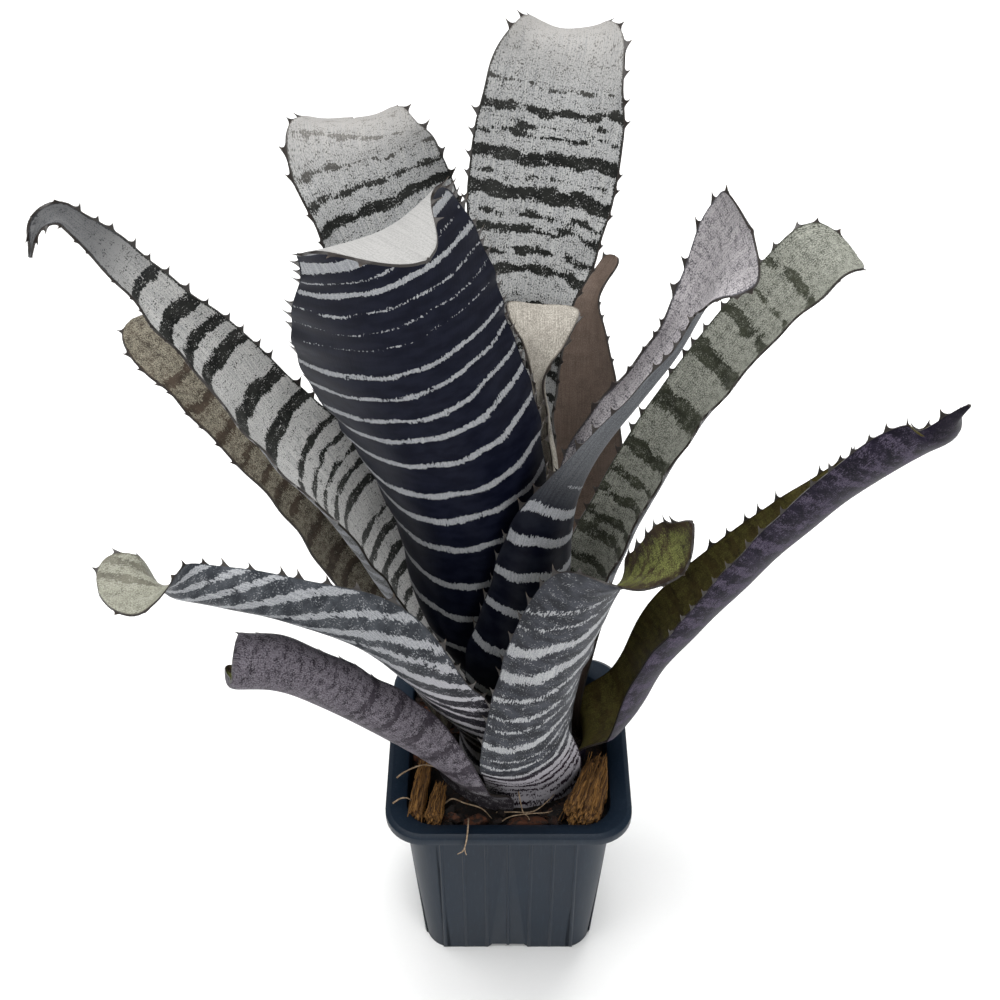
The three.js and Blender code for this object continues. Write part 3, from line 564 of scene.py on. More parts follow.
def new_mesh(name, points, faces, *materials):
    """A mesh object from points in millimetres, with its faces turned outwards."""
    mesh = bpy.data.meshes.new(name)
    mesh.from_pydata([tuple(float(c) * MM for c in p) for p in points], [], faces)
    for material in materials:
        mesh.materials.append(material)
    shape = bmesh.new()
    shape.from_mesh(mesh)
    bmesh.ops.recalc_face_normals(shape, faces=shape.faces)
    shape.to_mesh(mesh)
    shape.free()
    made = bpy.data.objects.new(name, mesh)
    bpy.context.scene.collection.objects.link(made)
    return made


def select_only(*chosen):
    """Makes these objects the selected ones, the first of them active."""
    bpy.ops.object.select_all(action="DESELECT")
    for one in chosen:
        one.select_set(True)
    bpy.context.view_layer.objects.active = chosen[0]


def add_attribute(made, name, values):
    """Keeps a number or three numbers for each point of a mesh, for its material to read."""
    values = np.array(values, np.float32)
    kind, key = ("FLOAT", "value") if values.ndim == 1 else ("FLOAT_VECTOR", "vector")
    made.data.attributes.new(name, kind, "POINT").data.foreach_set(key, values.ravel())


def ring_faces(low, high):
    """Faces between two closed rings of point numbers."""
    count = len(low)
    return [(low[k], low[(k + 1) % count], high[(k + 1) % count], high[k]) for k in range(count)]


def hand_over(made, node=None, smooth_up_to=60):
    """Smooths a finished piece up to an angle in degrees and says what it is to the frame.

    It rides on the root. Where it stands for a node, that node of the frame is hidden.
    """
    select_only(made)
    bpy.ops.object.shade_smooth_by_angle(angle=math.radians(smooth_up_to))
    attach(made, "root")
    if node:
        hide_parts(node)


def make_leaf(name, blade, materials):
    """Models one leaf of the frame, its thorns kept inside the frame's box."""
    body = leaf_points(blade)
    inside = np.clip(body.at, *(np.array(corner) / MM for corner in cad_box))
    made = new_mesh(name.replace("leaf_", "blade_"), inside, body.faces, *materials)
    add_attribute(made, "blade", body.blade)
    add_attribute(made, "share", body.share)
    made.data.polygons.foreach_set("material_index", body.kinds)
    hand_over(made, name, smooth_up_to=50)


def linear(code):
    """A hex colour of the screen as linear red, green and blue with alpha."""
    shares = [int(code[k:k + 2], 16) / 255 for k in (1, 3, 5)]
    return *[c / 12.92 if c <= 0.04045 else ((c + 0.055) / 1.055) ** 2.4 for c in shares], 1


def add(tree, kind, *values, out=0, **settings):
    """Adds one shader node, sets or links its inputs, and gives the output asked for."""
    made = tree.nodes.new("ShaderNode" + kind)
    for key, value in settings.items():
        setattr(made, key, value)
    inputs = values[0].items() if values and isinstance(values[0], dict) else enumerate(values)
    for key, value in inputs:
        if isinstance(value, bpy.types.NodeSocket):
            tree.links.new(value, made.inputs[key])
        else:
            made.inputs[key].default_value = value
    return made.outputs[out]


def new_material(name, ior, gloss=0.5, attribute=None):
    """A material, its tree, and the place that its pattern follows: a mesh attribute or the piece's own.

    The index of refraction and the share of light that is mirrored are set on the shader itself.
    """
    material = bpy.data.materials.new(name)
    material.use_nodes = True
    tree = material.node_tree
    shader = tree.nodes["Principled BSDF"].inputs
    shader["IOR"].default_value = ior
    shader["Specular IOR Level"].default_value = gloss
    if attribute:
        return material, tree, add(tree, "Attribute", attribute_name=attribute, out="Vector")
    return material, tree, add(tree, "TexCoord", out="Object")


def spread(tree, value, low, high, start=0, end=1):
    """Eases a value that runs from low to high so that it runs from start to end."""
    return add(tree, "MapRange", value, low, high, start, end, interpolation_type="SMOOTHSTEP")


def mixed(tree, share, first, second):
    """The first number or colour where the share is 0, the second where it is 1."""
    if isinstance(first, str):
        first = linear(first)
    if isinstance(second, str):
        second = linear(second)
    if isinstance(first, (int, float)):
        return add(tree, "Mix", {0: share, 2: first, 3: second})
    return add(tree, "Mix", {0: share, 6: first, 7: second}, data_type="RGBA", out=2)


def spots(tree, place, sizes, detail=2):
    """Noise whose spots have these sizes along the three axes, in the unit of the place."""
    scaled = add(tree, "VectorMath", place, tuple(1 / size for size in sizes), operation="MULTIPLY")
    return add(tree, "TexNoise", {"Vector": scaled, "Scale": 1, "Detail": detail})


def finish_skin(tree, colour, roughness, height, depth):
    """Links the pattern to the shader, with its relief of so many millimetres."""
    shader = tree.nodes["Principled BSDF"].inputs
    bump = add(tree, "Bump", {"Strength": 1, "Distance": depth * MM, "Height": height})
    for socket, value in (("Base Color", colour), ("Roughness", roughness), ("Normal", bump)):
        tree.links.new(value, shader[socket])


# Skins of the leaves. ground is the bare skin, dust the pale scales on it, each as two shades. cover is the
# share of the skin that the scales hide between the bands, band their share in a band. fray is how far the
# bands' edges run out into streaks and broken how far they come and go, both in millimetres. grain is how
# strongly single scales show, clot how strongly they gather in patches, and soft how gently they thin out.
# foot gives the skin and the scales of the sheath and the share of the length where they end, tip the colour
# of the tip and where it starts, bare how far in from the margin the scales fail, and gloss the share of
# light that the cuticle mirrors.
SKINS = {
    "night": dict(ground=("#070a19", "#121523"), dust=("#7e8085", "#a2a4a6"), cover=0.03, band=0.95,
                  fray=4, broken=3, grain=1.2, clot=0.4, soft=0.1, gloss=0.05),
    "dusk": dict(ground=("#080a17", "#151822"), dust=("#7e8085", "#a0a2a5"), cover=0.05, band=0.95,
                 fray=4, broken=3, grain=1.2, clot=0.4, soft=0.1, tip=("#6a6c6f", 0.56), gloss=0.05),
    "silver": dict(ground=("#161716", "#242523"), dust=("#808284", "#b2b2b0"), cover=0.7, band=0.06,
                   fray=3.5, broken=6, grain=2.2, clot=1.2, soft=0.2, tip=("#8c8985", 0.84)),
    "pewter": dict(ground=("#1b1c1b", "#2b2c2a"), dust=("#959696", "#cac9c6"), cover=0.76, band=0.06,
                   fray=3.5, broken=6, grain=2.2, clot=1.4, soft=0.2, tip=("#4b4c50", 0.8)),
    "smoke": dict(ground=("#1c1f24", "#2e3136"), dust=("#75777d", "#919398"), cover=0.3, band=0.9,
                  fray=4, broken=6, grain=1.8, clot=0.8, soft=0.2),
    "ash": dict(ground=("#2c2f34", "#474a4f"), dust=("#7c7e82", "#a9abae"), cover=0.18, band=0.92,
                fray=5, broken=6, grain=1.6, clot=1, soft=0.2, foot=("#15131b", "#a3a1a6", 0.6)),
    "white": dict(ground=("#5e5e5d", "#6e6e6c"), dust=("#7b7b7a", "#949492"), cover=0.7, band=0.25,
                  fray=9, broken=6, grain=0.5, clot=0.5, soft=0.6, tip=("#9a9997", 0.8)),
    "heart": dict(ground=("#57524b", "#6c665f"), dust=("#948f86", "#b9b4aa"), cover=0.55, band=0.3,
                  fray=12, broken=10, grain=0.8, clot=0.6, soft=0.4),
    "mauve": dict(ground=("#3c3b40", "#57555a"), dust=("#8f8b8f", "#bbb7b8"), cover=0.62, band=0.3,
                  fray=14, broken=8, grain=1.6, clot=1.2, soft=0.3),
    "moss": dict(ground=("#25271f", "#35372d"), dust=("#6c6e67", "#999a90"), cover=0.62, band=0.06,
                 fray=5, broken=9, grain=1.8, clot=1.2, soft=0.45),
    "slate": dict(ground=("#25272c", "#3d3f46"), dust=("#85878b", "#b4b5b6"), cover=0.12, band=0.94,
                  fray=7, broken=5, grain=1.8, clot=1, soft=0.2, foot=("#1f151f", "#9b989e", 0.24)),
    "straw": dict(ground=("#55534a", "#67655a"), dust=("#7b7b6d", "#97978c"), cover=0.6, band=0.2,
                  fray=8, broken=9, grain=1.6, clot=1.2, soft=0.35),
    "tan": dict(ground=("#41352f", "#53453d"), dust=("#5f524a", "#73665c"), cover=0.5, band=0.35,
                fray=10, broken=9, grain=0.5, clot=0.5, soft=0.6),
    "plum": dict(ground=("#0e0b17", "#1b1625"), dust=("#332c3c", "#575060"), cover=0.2, band=0.62,
                 fray=8, broken=16, grain=1.6, clot=1.8, soft=0.4, tip=("#15131a", 0.88)),
    "heather": dict(ground=("#242026", "#39343b"), dust=("#544f57", "#777279"), cover=0.54, band=0.16,
                    fray=8, broken=12, grain=1.8, clot=1.8, soft=0.3, foot=("#3a363b", "#8d8a8e", 0.24)),
    "fern": dict(ground=("#272012", "#3a311b"), dust=("#4a4524", "#5b582e"), cover=0.45, band=0.2,
                 fray=8, broken=12, grain=1, clot=1, soft=0.5),
    "lime": dict(ground=("#2b211d", "#3c3125"), dust=("#585b33", "#7d814b"), cover=0.55, band=0.3,
                 fray=8, broken=9, grain=1.4, clot=1.4, soft=0.4, bare=7),
    "olive": dict(ground=("#2c2620", "#40372f"), dust=("#5f5a50", "#8a8576"), cover=0.5, band=0.04,
                  fray=6, broken=7, grain=1.6, clot=1.2, soft=0.35),
}


def leaf_skin(name, ground, dust, cover, band, fray, broken, grain, clot, soft,
              foot=None, tip=None, bare=0.9, gloss=0.12):
    """Bromeliad leaf: a leathery, satin cuticle, dusted with pale scales that thicken or fail in cross bands.

    The scales make it dull and grey, and fine lengthwise streaks fray the edges of the bands.
    """
    material, tree, place = new_material(name + "_leaf_skin", ior=1.42, gloss=gloss, attribute="blade")
    share = add(tree, "Attribute", attribute_name="share", out="Vector")
    edge, along, stripe = add(tree, "SeparateXYZ", share).node.outputs
    streak = spots(tree, place, (0.55, 2.2, 1), detail=4)
    vein = spots(tree, place, (0.4, 14, 1), detail=2)
    patch = spots(tree, place, (7, 5, 1), detail=3)
    fleck = spots(tree, place, (0.5, 0.6, 1), detail=4)
    cluster = spots(tree, place, (3, 2.4, 1), detail=5)
    scale = spots(tree, place, (0.28, 0.4, 1))
    frayed = add(tree, "Math", streak, fray, -fray / 2, operation="MULTIPLY_ADD")
    gaps = add(tree, "Math", patch, broken, -broken / 2, operation="MULTIPLY_ADD")
    shifted = add(tree, "Math", stripe, add(tree, "Math", frayed, gaps))
    banded = mixed(tree, spread(tree, shifted, -0.3, 0.3), cover, band)
    worn = add(tree, "Math", banded, spread(tree, edge, 0, bare, 0.1, 1), operation="MULTIPLY")
    flecked = add(tree, "Math", fleck, grain, worn, operation="MULTIPLY_ADD")
    speckled = add(tree, "Math", cluster, clot, flecked, operation="MULTIPLY_ADD")
    level = 0.45 + grain / 2 + clot / 2
    dusted = spread(tree, speckled, level - soft, level + soft)
    skin = mixed(tree, spread(tree, patch, 0.35, 0.65), *ground)
    lit = add(tree, "Math", add(tree, "Math", vein, scale), fleck)
    scales = mixed(tree, spread(tree, lit, 1.2, 1.8), *dust)
    if foot:
        low_skin, low_scales, end = foot
        low = spread(tree, along, 0.6 * end, end, 1, 0)
        skin = mixed(tree, low, skin, low_skin)
        scales = mixed(tree, low, scales, low_scales)
    colour = mixed(tree, dusted, skin, scales)
    if tip:
        tint, start = tip
        reached = spread(tree, along, start, start + 0.12)
        pale = add(tree, "Math", reached, spread(tree, lit, 1.2, 1.8, 0.5, 0.95), operation="MULTIPLY")
        colour = mixed(tree, pale, colour, tint)
    relief = add(tree, "Math", vein, 0.8, dusted, operation="MULTIPLY_ADD")
    finish_skin(tree, colour, mixed(tree, dusted, 0.45, 0.65), relief, 0.06)
    return material


def thorn_horn():
    """Margin and thorns: hard, dry horn, dark at the base and thinning to a pale, almost clear point."""
    material, tree, place = new_material("leaf_thorn_horn", ior=1.5, attribute="blade")
    share = add(tree, "Attribute", attribute_name="share", out="Vector")
    edge, _, _ = add(tree, "SeparateXYZ", share).node.outputs
    grain = spots(tree, place, (0.6, 2.5, 1))
    base = mixed(tree, grain, "#14110f", "#2c241f")
    colour = mixed(tree, spread(tree, edge, -1.4, -3.2), base, "#4f4438")
    finish_skin(tree, colour, mixed(tree, grain, 0.35, 0.5), grain, 0.03)
    return material


def pot_plastic():
    """Polypropylene, injection moulded with a fine satin grain: smooth, slightly mottled and dusty."""
    material, tree, place = new_material("pot_moulded_polypropylene", ior=1.49, gloss=0.25)
    grain = spots(tree, place, (0.5 * MM,) * 3)
    cloud = spots(tree, place, (22 * MM, 22 * MM, 30 * MM), detail=3)
    scuff = spots(tree, place, (0.8 * MM, 0.8 * MM, 9 * MM), detail=3)
    plastic = mixed(tree, cloud, "#0d1926", "#142230")
    dusty = spread(tree, scuff, 0.5, 0.8, 0, 0.25)
    colour = mixed(tree, dusty, plastic, "#2f3c4a")
    finish_skin(tree, colour, mixed(tree, cloud, 0.38, 0.5), grain, 0.015)
    return material


def damp_mix():
    """Bark and coir fines, composted and damp: almost black, crumbly and dull."""
    material, tree, place = new_material("composted_bark_mix", ior=1.4)
    crumb = spots(tree, place, (1.6 * MM,) * 3, detail=6)
    clump = spots(tree, place, (7 * MM,) * 3, detail=3)
    dark = mixed(tree, clump, "#070605", "#140e0b")
    colour = mixed(tree, spread(tree, crumb, 0.5, 0.72), dark, "#352216")
    finish_skin(tree, colour, mixed(tree, crumb, 0.8, 0.95), crumb, 0.8)
    return material


def bark_crumb():
    """Pine bark, chipped: reddish brown cork layers, with darker weathered faces."""
    material, tree, place = new_material("chipped_pine_bark", ior=1.45)
    tone = add(tree, "Attribute", attribute_name="tone", out="Fac")
    layer = spots(tree, place, (2.4 * MM, 2.4 * MM, 0.5 * MM), detail=4)
    fleck = spots(tree, place, (0.5 * MM,) * 3, detail=3)
    fresh = mixed(tree, tone, "#120b08", "#5a321c")
    aged = mixed(tree, tone, "#090706", "#281a13")
    colour = mixed(tree, spread(tree, layer, 0.38, 0.62), fresh, aged)
    colour = mixed(tree, spread(tree, fleck, 0.68, 0.76), colour, "#75563a")
    finish_skin(tree, colour, mixed(tree, fleck, 0.7, 0.9), layer, 0.35)
    return material


def coir_husk():
    """Coconut husk, torn: golden-brown fibres with dusty pith between them."""
    material, tree, place = new_material("torn_coconut_husk", ior=1.45, attribute="fibre")
    thread = spots(tree, place, (0.35, 9, 0.35), detail=3)
    pith = spots(tree, place, (1.5, 3, 1.5), detail=4)
    fibres = mixed(tree, spread(tree, thread, 0.35, 0.65), "#38230f", "#8f6734")
    colour = mixed(tree, spread(tree, pith, 0.5, 0.75), fibres, "#3d2613")
    relief = add(tree, "Math", thread, 0.6, pith, operation="MULTIPLY_ADD")
    finish_skin(tree, colour, mixed(tree, thread, 0.75, 0.92), relief, 0.4)
    return material


def root_skin():
    """Bromeliad roots: wiry, dry and tan, with a rough bark of dead cells."""
    material, tree, place = new_material("dry_root_bark", ior=1.45)
    blotch = spots(tree, place, (1.2 * MM,) * 3, detail=4)
    colour = mixed(tree, spread(tree, blotch, 0.35, 0.65), "#7d6850", "#a8937a")
    finish_skin(tree, colour, mixed(tree, blotch, 0.65, 0.85), blotch, 0.15)
    return material


def studio_paper():
    """Seamless background paper: matt and almost white, with a faint tooth."""
    material, tree, place = new_material("matt_studio_paper", ior=1.4)
    tooth = spots(tree, place, (1.5 * MM,) * 3)
    colour = mixed(tree, tooth, "#f8f8f7", "#fbfbfa")
    finish_skin(tree, colour, mixed(tree, tooth, 0.9, 0.95), tooth, 0.02)
    return material


def half_square(side, corner, x, y):
    """Moves a point of the square from -1 to 1 into the rounded square of this side and corner."""
    reach = side / 2
    middle = reach - corner
    px, py = x * reach, y * reach
    over_x, over_y = abs(px) - middle, abs(py) - middle
    if over_x > 0 and over_y > 0:
        shrink = max(over_x, over_y) / math.hypot(over_x, over_y)
        px = math.copysign(middle + over_x * shrink, px)
        py = math.copysign(middle + over_y * shrink, py)
    return px, py


def wall_side(z):
    """Outer side of the tapering pot at a height."""
    return FOOT_SIDE + (SHOULDER_SIDE - FOOT_SIDE) * z / SHOULDER_HEIGHT


def apply_modifier(made, kind, **settings):
    """Adds a modifier with these settings and applies it."""
    select_only(made)
    modifier = made.modifiers.new(kind.title(), kind)
    for key, value in settings.items():
        setattr(modifier, key, value)
    bpy.ops.object.modifier_apply(modifier=modifier.name)


def pot_ring(side, corner, z, rib):
    """One level of the pot's skin: a rounded square whose four sides carry ribs that stand out so far."""
    ring = []
    reach = side / 2
    middle = reach - corner
    ribs = [(k - (RIBS_ON_A_FACE - 1) / 2) * RIB_SPACING for k in range(RIBS_ON_A_FACE)]
    for face in range(4):
        quarter = [(-middle, -reach)]
        for x in ribs:
            quarter += [(x - RIB_FOOT_HALF, -reach), (x - RIB_TOP_HALF, -reach - rib),
                        (x + RIB_TOP_HALF, -reach - rib), (x + RIB_FOOT_HALF, -reach)]
        for k in range(CORNER_STEPS):
            angle = math.pi / 2 * (k / CORNER_STEPS - 1)
            quarter.append((middle + corner * math.cos(angle), -middle + corner * math.sin(angle)))
        for x, y in quarter:
            for _ in range(face):
                x, y = -y, x
            ring.append((x, y, z))
    return ring


def wall_ring(z, inset, rib=0):
    """A ring of the tapering wall at a height, this far inside its outer skin."""
    share = z / SHOULDER_HEIGHT
    corner = FOOT_CORNER + (SHOULDER_CORNER - FOOT_CORNER) * share
    return pot_ring(wall_side(z) - 2 * inset, corner - inset, z, rib)


def make_pot(material):
    """The nursery pot: a thin tapering wall with fine ribs, a turned-down rim and a notched foot."""
    shelf = POT_HEIGHT - RIM_FALL - WALL
    rings = [
        wall_ring(FLOOR_TOP - WALL, WALL),
        wall_ring(0, WALL),
        wall_ring(0, 0),
        wall_ring(RIB_START, 0, RIB_PROUD),
        wall_ring(RIB_END, 0, RIB_PROUD),
        wall_ring(RIB_FADE, 0),
        wall_ring(shelf, 0),
        pot_ring(RIM_SIDE - 2 * WALL, RIM_CORNER - WALL, shelf, 0),
        pot_ring(RIM_SIDE - 2 * WALL, RIM_CORNER - WALL, SHOULDER_HEIGHT, 0),
        pot_ring(RIM_SIDE, RIM_CORNER, SHOULDER_HEIGHT, 0),
        pot_ring(RIM_SIDE, RIM_CORNER, POT_HEIGHT - RIM_FALL, 0),
        pot_ring(RIM_SIDE - 2 * RIM_CROWN_INSET, RIM_CORNER - RIM_CROWN_INSET, POT_HEIGHT, 0),
        pot_ring(SHOULDER_SIDE + 2 * RIM_INNER_OUTSET, SHOULDER_CORNER, POT_HEIGHT - RIM_FALL, 0),
        pot_ring(SHOULDER_SIDE - 2 * WALL, SHOULDER_CORNER - WALL, POT_HEIGHT - 2 * RIM_FALL, 0),
        wall_ring(FLOOR_TOP, WALL),
    ]
    points = [point for ring in rings for point in ring]
    count = len(rings[0])
    numbers = [range(r * count, (r + 1) * count) for r in range(len(rings))]
    faces = [face for low, high in zip(numbers, numbers[1:]) for face in ring_faces(low, high)]
    faces += [tuple(numbers[0]), tuple(numbers[-1])]
    made = new_mesh("square_pot", points, faces, material)
    cut_notches(made)
    apply_modifier(made, "BEVEL", width=EDGE_ROUND * MM, segments=2, limit_method="ANGLE",
                   angle_limit=math.radians(EDGE_ANGLE))
    hand_over(made, "nursery_pot", smooth_up_to=35)


def cut_notches(pot):
    """Cuts the gap in the middle of each foot edge, narrower at its top, that lets water run out."""
    wide, narrow, deep = NOTCH_FOOT_WIDTH / 2, NOTCH_TOP_WIDTH / 2, NOTCH_DEPTH
    out = FOOT_SIDE / 2 + CUTTER_OUT
    for face in range(4):
        corners = []
        for y in (-out, -out + deep):
            corners += [(-wide, y, -CUTTER_BELOW), (wide, y, -CUTTER_BELOW),
                        (narrow, y, NOTCH_RISE), (-narrow, y, NOTCH_RISE)]
        for _ in range(face):
            corners = [(-y, x, z) for x, y, z in corners]
        sides = ring_faces(range(4), range(4, 8))
        cutter = new_mesh("notch_cutter", corners, [(3, 2, 1, 0), (4, 5, 6, 7), *sides])
        apply_modifier(pot, "BOOLEAN", object=cutter, operation="DIFFERENCE", solver="EXACT")
        bpy.data.objects.remove(cutter)


def crumbly(x, y, scale, seed):
    """Rough noise at a place on the bed, with lumps of about this size."""
    return noise.fractal(Vector((x / scale, y / scale, seed)), 0.9, 2.1, 4)


def make_mix(material):
    """The bed of mix: level and lumpy on top, rounded down at the wall, plain where the pot hides it."""
    count = BED_STEPS
    points, faces = [], []
    side = wall_side(MIX_LEVEL) - 2 * WALL - 2 * FIT_GAP
    corner = SHOULDER_CORNER - WALL
    for i in range(count + 1):
        for j in range(count + 1):
            u, v = 2 * i / count - 1, 2 * j / count - 1
            x, y = half_square(side, corner, u, v)
            wall = 1 - max(abs(u), abs(v))
            drop = BED_EDGE_DROP * max(0, 1 - wall / BED_EDGE_SHARE) ** 2
            lump = sum(height * crumbly(x, y, size, seed) for height, size, seed in BED_LUMPS)
            points.append((x, y, MIX_LEVEL - BED_SINK - drop + lump * min(1, BED_LUMPS_END * wall)))
    for i in range(count):
        for j in range(count):
            k = i * (count + 1) + j
            faces.append((k, k + count + 1, k + count + 2, k + 1))
    border = ([(i, 0) for i in range(count)] + [(count, j) for j in range(count)]
              + [(count - i, count) for i in range(count)] + [(0, count - j) for j in range(count)])
    upper = [i * (count + 1) + j for i, j in border]
    bottom = FLOOR_TOP + FIT_GAP
    foot_share = (wall_side(bottom) - 2 * WALL - 2 * FIT_GAP) / side
    lower = []
    for k in upper:
        x, y, _ = points[k]
        points.append((x * foot_share, y * foot_share, bottom))
        lower.append(len(points) - 1)
    faces += [*ring_faces(upper, lower), tuple(reversed(lower))]
    made = new_mesh("mix_bed", points, faces, material)
    hand_over(made, "growing_mix", smooth_up_to=40)


def divided_cube(size, cuts):
    """Points and faces of a cube whose edges are each cut so many times."""
    bpy.ops.object.select_all(action="DESELECT")
    bpy.ops.mesh.primitive_cube_add(size=size)
    bpy.ops.object.mode_set(mode="EDIT")
    bpy.ops.mesh.subdivide(number_cuts=cuts)
    bpy.ops.object.mode_set(mode="OBJECT")
    cube = bpy.context.object
    points = [Vector(point.co) for point in cube.data.vertices]
    faces = [tuple(face.vertices) for face in cube.data.polygons]
    bpy.data.objects.remove(cube)
    return points, faces


def crumb_shapes(rng):
    """A few angular chips, each a cube cut once, with its corners shortened, and pushed out of true."""
    cube, faces = divided_cube(1, 1)
    shapes = []
    for _ in range(CRUMB_KINDS):
        corners = []
        for x, y, z in cube:
            shrink = 1 - 0.22 * (abs(x) + abs(y) + abs(z) > 1.4)
            push = [rng.uniform(-0.14, 0.14) for _ in range(3)]
            corners.append((x * shrink + push[0], y * shrink + push[1], z * shrink + push[2]))
        shapes.append((corners, faces))
    return shapes


def turned(point, spin, tilt, roll):
    """A point turned about X, then Y, then Z."""
    x, y, z = point
    y, z = y * math.cos(tilt) - z * math.sin(tilt), y * math.sin(tilt) + z * math.cos(tilt)
    x, z = x * math.cos(roll) + z * math.sin(roll), z * math.cos(roll) - x * math.sin(roll)
    return x * math.cos(spin) - y * math.sin(spin), x * math.sin(spin) + y * math.cos(spin), z


def on_bed(place):
    """Keeps an x or y inside the pot."""
    return max(-BED_REACH, min(BED_REACH, place))


def clear_of(x, y, keep_out, room):
    """Whether a place has this much room to every point that it has to keep out of."""
    return all(math.hypot(x - px, y - py) > room for px, py in keep_out)


def make_crumbs(material, blades):
    """Chips of bark that lie loose on the bed in a thin layer, clear of the leaves' feet and the husks."""
    rng = random.Random(CRUMB_SEED)
    shapes = crumb_shapes(rng)
    feet = []
    for blade in blades:
        low = np.linspace(0, LEAF_FOOT_LENGTH / blade.length, 5)
        for v in np.linspace(-1, 1, 25):
            feet.extend((p[0], p[1]) for p in blade.points(low, np.array([v]), -1)[:, 0])
    side = wall_side(MIX_LEVEL) - 2 * WALL - 2 * CRUMB_WALL_GAP
    corner_round = SHOULDER_CORNER - WALL - CRUMB_WALL_GAP
    points, faces, tones = [], [], []
    placed = tries = 0
    while placed < CRUMBS and tries < 20 * CRUMBS:
        tries += 1
        u, v = rng.uniform(-0.95, 0.95), rng.uniform(-0.95, 0.95)
        x, y = half_square(side, corner_round, u, v)
        size = rng.choice(CRUMB_SIZES) * rng.uniform(0.8, 1.2)
        if not clear_of(x, y, feet, 0.5 * size + 0.6) or in_husk(x, y, 0.45 * size):
            continue
        corners, quads = rng.choice(shapes)
        turn = (rng.uniform(0, 2 * math.pi), rng.uniform(-0.5, 0.5), rng.uniform(-0.5, 0.5))
        thin = rng.uniform(0.25, 0.5)
        level = MIX_LEVEL + CRUMB_LOWEST + rng.uniform(0, CRUMB_LAYER)
        tone = rng.random() ** 2
        start = len(points)
        for corner in corners:
            local = corner[0] * size, corner[1] * size * CRUMB_SLIMNESS, corner[2] * size * thin
            moved = turned(local, *turn)
            points.append((on_bed(x + moved[0]), on_bed(y + moved[1]), level + moved[2]))
            tones.append(tone)
        faces.extend(tuple(start + k for k in quad) for quad in quads)
        placed += 1
    made = new_mesh("bark_crumbs", points, faces, material)
    add_attribute(made, "tone", tones)
    hand_over(made, smooth_up_to=30)


def in_husk(x, y, room):
    """Whether a place on the bed lies under a husk or a bark chip."""
    for _, at, half, turn, _ in HUSKS:
        angle = math.radians(-turn)
        dx, dy = x - at[0], y - at[1]
        across = dx * math.cos(angle) - dy * math.sin(angle)
        along = dx * math.sin(angle) + dy * math.cos(angle)
        if abs(across) < half[0] + room and abs(along) < half[1] + room:
            return True
    return False


def husk_place(local, at, turn, tilt):
    """A point of a husk in the frame, tilted about its width and turned, and kept on the bed."""
    x, y, z = turned(turned(local, 0, math.radians(tilt), 0), math.radians(turn), 0, 0)
    return on_bed(at[0] + x), on_bed(at[1] + y), max(at[2] + z, MIX_LEVEL + FIT_GAP)


def husk_body(at, half, turn, tilt, torn, seed):
    """A torn lump: a rounded wedge with lengthwise furrows and ragged ends, flat where it rests."""
    cube, faces = divided_cube(2, HUSK_CUTS)
    points, fibres = [], []
    for unit in cube:
        unit /= sum(abs(c) ** 4 for c in unit) ** 0.25
        x, y, z = unit.x * half[0], unit.y * half[1], unit.z * half[2]
        furrow = noise.fractal(Vector((x / 0.9, y / 11, z / 0.9 + seed)), 0.8, 2.2, 4)
        lump = noise.noise(Vector((x / 5, y / 6, z / 5 + 2 * seed)))
        push = (1 + torn * furrow / 1.3 + 0.2 * lump) * (1 - HUSK_TAPER * unit.y)
        ragged = 1 + torn * noise.noise(Vector((x / 0.8, seed, z / 0.8))) * abs(unit.y) ** 3
        fibres.append((x, y, z + 20 * seed))
        points.append(husk_place((x * push, y * ragged, z * push), at, turn, tilt))
    return points, fibres, faces


def add_strands(points, fibres, faces, count, at, half, turn, tilt, seed):
    """Loose fibres that lie along a husk, wander off it and stand out past its ends."""
    rng = random.Random(seed)
    for number in range(count):
        angle = rng.uniform(-0.35, math.pi + 0.35)
        side, up = math.cos(angle), math.sin(angle)
        reach = (side ** 4 + up ** 4) ** -0.25
        start, end = rng.uniform(-1.22, 0.3), rng.uniform(0.1, 1.15)
        lift = rng.uniform(0.95, 1.12)
        thick = rng.uniform(*STRAND_THICK)
        route = []
        for k in range(STRAND_STEPS + 1):
            y = start + (end - start) * k / STRAND_STEPS
            past = max(0, abs(y) - 0.9)
            stray = 1 + 0.1 * noise.noise(Vector((2.5 * y, number, seed))) + 1.1 * rng.uniform(0, 1) * past
            across = stray * lift * reach * (1 - HUSK_TAPER * y)
            wander = 1.4 * noise.noise(Vector((number, 1.6 * y, 3 * seed)))
            local = (side * half[0] * across + wander, y * half[1], up * half[2] * across)
            route.append(husk_place(local, at, turn, tilt))
        before = len(points)
        radii = [thick / 2 * (1 - 0.4 * k / STRAND_STEPS) for k in range(STRAND_STEPS + 1)]
        tube(route, radii, STRAND_SIDES, points, faces)
        fibres += [(3 * number, y * half[1], 20 * seed)] * (len(points) - before)


def make_husk(name, at, half, turn, tilt, material, torn, strands, seed):
    """A torn husk or bark chip of the frame, with its loose fibres."""
    points, fibres, faces = husk_body(at, half, turn, tilt, torn, seed)
    add_strands(points, fibres, faces, strands, at, half, turn, tilt, seed)
    made = new_mesh(name + "_torn", points, faces, material)
    add_attribute(made, "fibre", fibres)
    add_attribute(made, "tone", [CHIP_TONE] * len(points))
    hand_over(made, name)


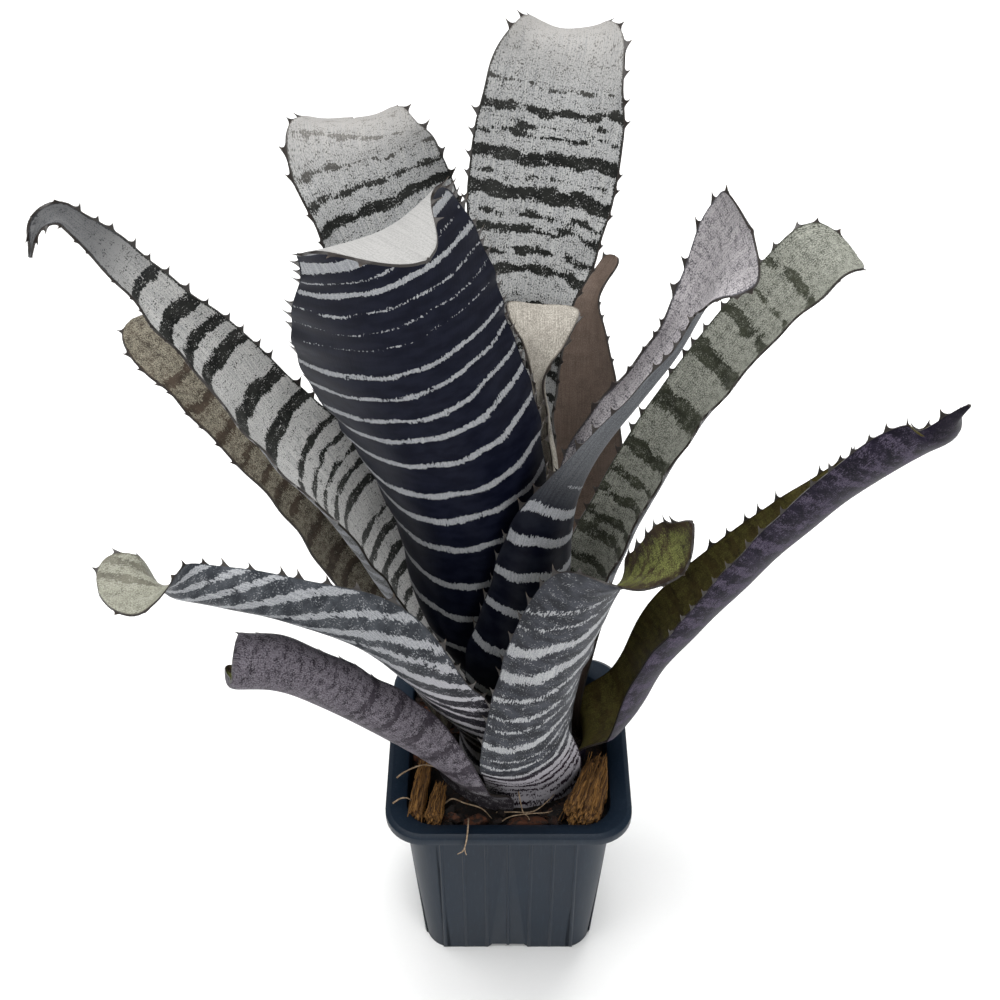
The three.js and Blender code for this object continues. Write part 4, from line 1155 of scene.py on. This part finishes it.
def tube(points, radii, sides, at, faces):
    """Adds a closed tube along the points to the lists of points and faces."""
    start = len(at)
    toward = Vector((0.3, 0.2, 0.9))
    for k, point in enumerate(points):
        before, after = points[max(k - 1, 0)], points[min(k + 1, len(points) - 1)]
        along = (Vector(after) - Vector(before)).normalized()
        toward = (toward - along * toward.dot(along)).normalized()
        other = along.cross(toward)
        for s in range(sides):
            angle = 2 * math.pi * s / sides
            at.append(Vector(point) + (toward * math.cos(angle) + other * math.sin(angle)) * radii[k])
    rings = [range(first, first + sides) for first in range(start, len(at), sides)]
    for low, high in zip(rings, rings[1:]):
        faces.extend(ring_faces(low, high))
    faces += [tuple(reversed(rings[0])), tuple(rings[-1])]


def make_roots(material):
    """Wiry roots that come out of the bed, arch over it and go in again, or hang over the rim."""
    at, faces = [], []
    for route, thick in ROOTS:
        path, _ = smooth_route(np.array(route, float))
        path = path[::ROOT_STRIDE]
        share = np.linspace(0, 1, len(path))
        wobble = [noise.noise(Vector((7 * s, thick * 30, 1))) for s in share]
        radii = [thick / 2 * (1.1 - 0.55 * s + 0.2 * w) for s, w in zip(share, wobble)]
        tube(path, radii, ROOT_SIDES, at, faces)
    made = new_mesh("fine_roots", at, faces, material)
    hand_over(made)


def place_camera():
    """The camera of the picture, which looks at the plant from a little above it."""
    lens = bpy.data.cameras.new("front_camera")
    lens.lens = FOCAL_LENGTH
    lens.sensor_width = SENSOR_WIDTH
    lens.clip_start = 0.01
    camera = bpy.data.objects.new("front_camera", lens)
    camera.location = [c * MM for c in CAMERA_PLACE]
    camera.rotation_euler = (math.radians(90 - CAMERA_PITCH), 0, 0)
    bpy.context.scene.collection.objects.link(camera)
    bpy.context.scene.camera = camera


def soft_light(name, place, side, power, mirrored):
    """A square softbox that faces the middle of the plant."""
    light = bpy.data.lights.new(name, "AREA")
    light.size = side
    light.energy = power
    lamp = bpy.data.objects.new(name, light)
    lamp.location = place
    lamp.visible_glossy = mirrored
    lamp.rotation_euler = (Vector(place) - Vector(LIGHTS_AIM)).to_track_quat("Z", "Y").to_euler()
    bpy.context.scene.collection.objects.link(lamp)


def make_studio(material):
    """A wide pale floor, three softboxes and a pale sky."""
    bpy.ops.object.select_all(action="DESELECT")
    bpy.ops.mesh.primitive_plane_add(size=FLOOR_SIDE)
    floor = bpy.context.object
    floor.name = "studio_floor"
    floor.data.materials.append(material)
    world = bpy.data.worlds.new("pale_studio")
    world.use_nodes = True
    sky = world.node_tree.nodes["Background"].inputs
    sky["Color"].default_value = linear(SKY_COLOUR)
    sky["Strength"].default_value = SKY_STRENGTH
    bpy.context.scene.world = world
    for softbox in SOFTBOXES:
        soft_light(*softbox)


place_camera()
bpy.context.scene.view_settings.view_transform = "Standard"
skins = {name: leaf_skin(name, **look) for name, look in SKINS.items()}
thorns = thorn_horn()
blades = {name: Blade(leaf, seed) for seed, (name, leaf) in enumerate(LEAVES.items(), start=1)}
for name, blade in blades.items():
    make_leaf(name, blade, (skins[blade.leaf["outer"]], skins[blade.leaf["inner"]], thorns))
bark = bark_crumb()
husk = coir_husk()
make_pot(pot_plastic())
make_mix(damp_mix())
make_crumbs(bark, blades.values())
for seed, (name, at, half, turn, tilt) in enumerate(HUSKS, start=1):
    if name.startswith("bark"):
        make_husk(name, at, half, turn, tilt, bark, CHIP_TORN, 0, seed)
    else:
        strands = round(STRANDS_FOR_WIDTH * half[0] + STRANDS_LEAST)
        make_husk(name, at, half, turn, tilt, husk, HUSK_TORN, strands, seed)
make_roots(root_skin())
make_studio(studio_paper())
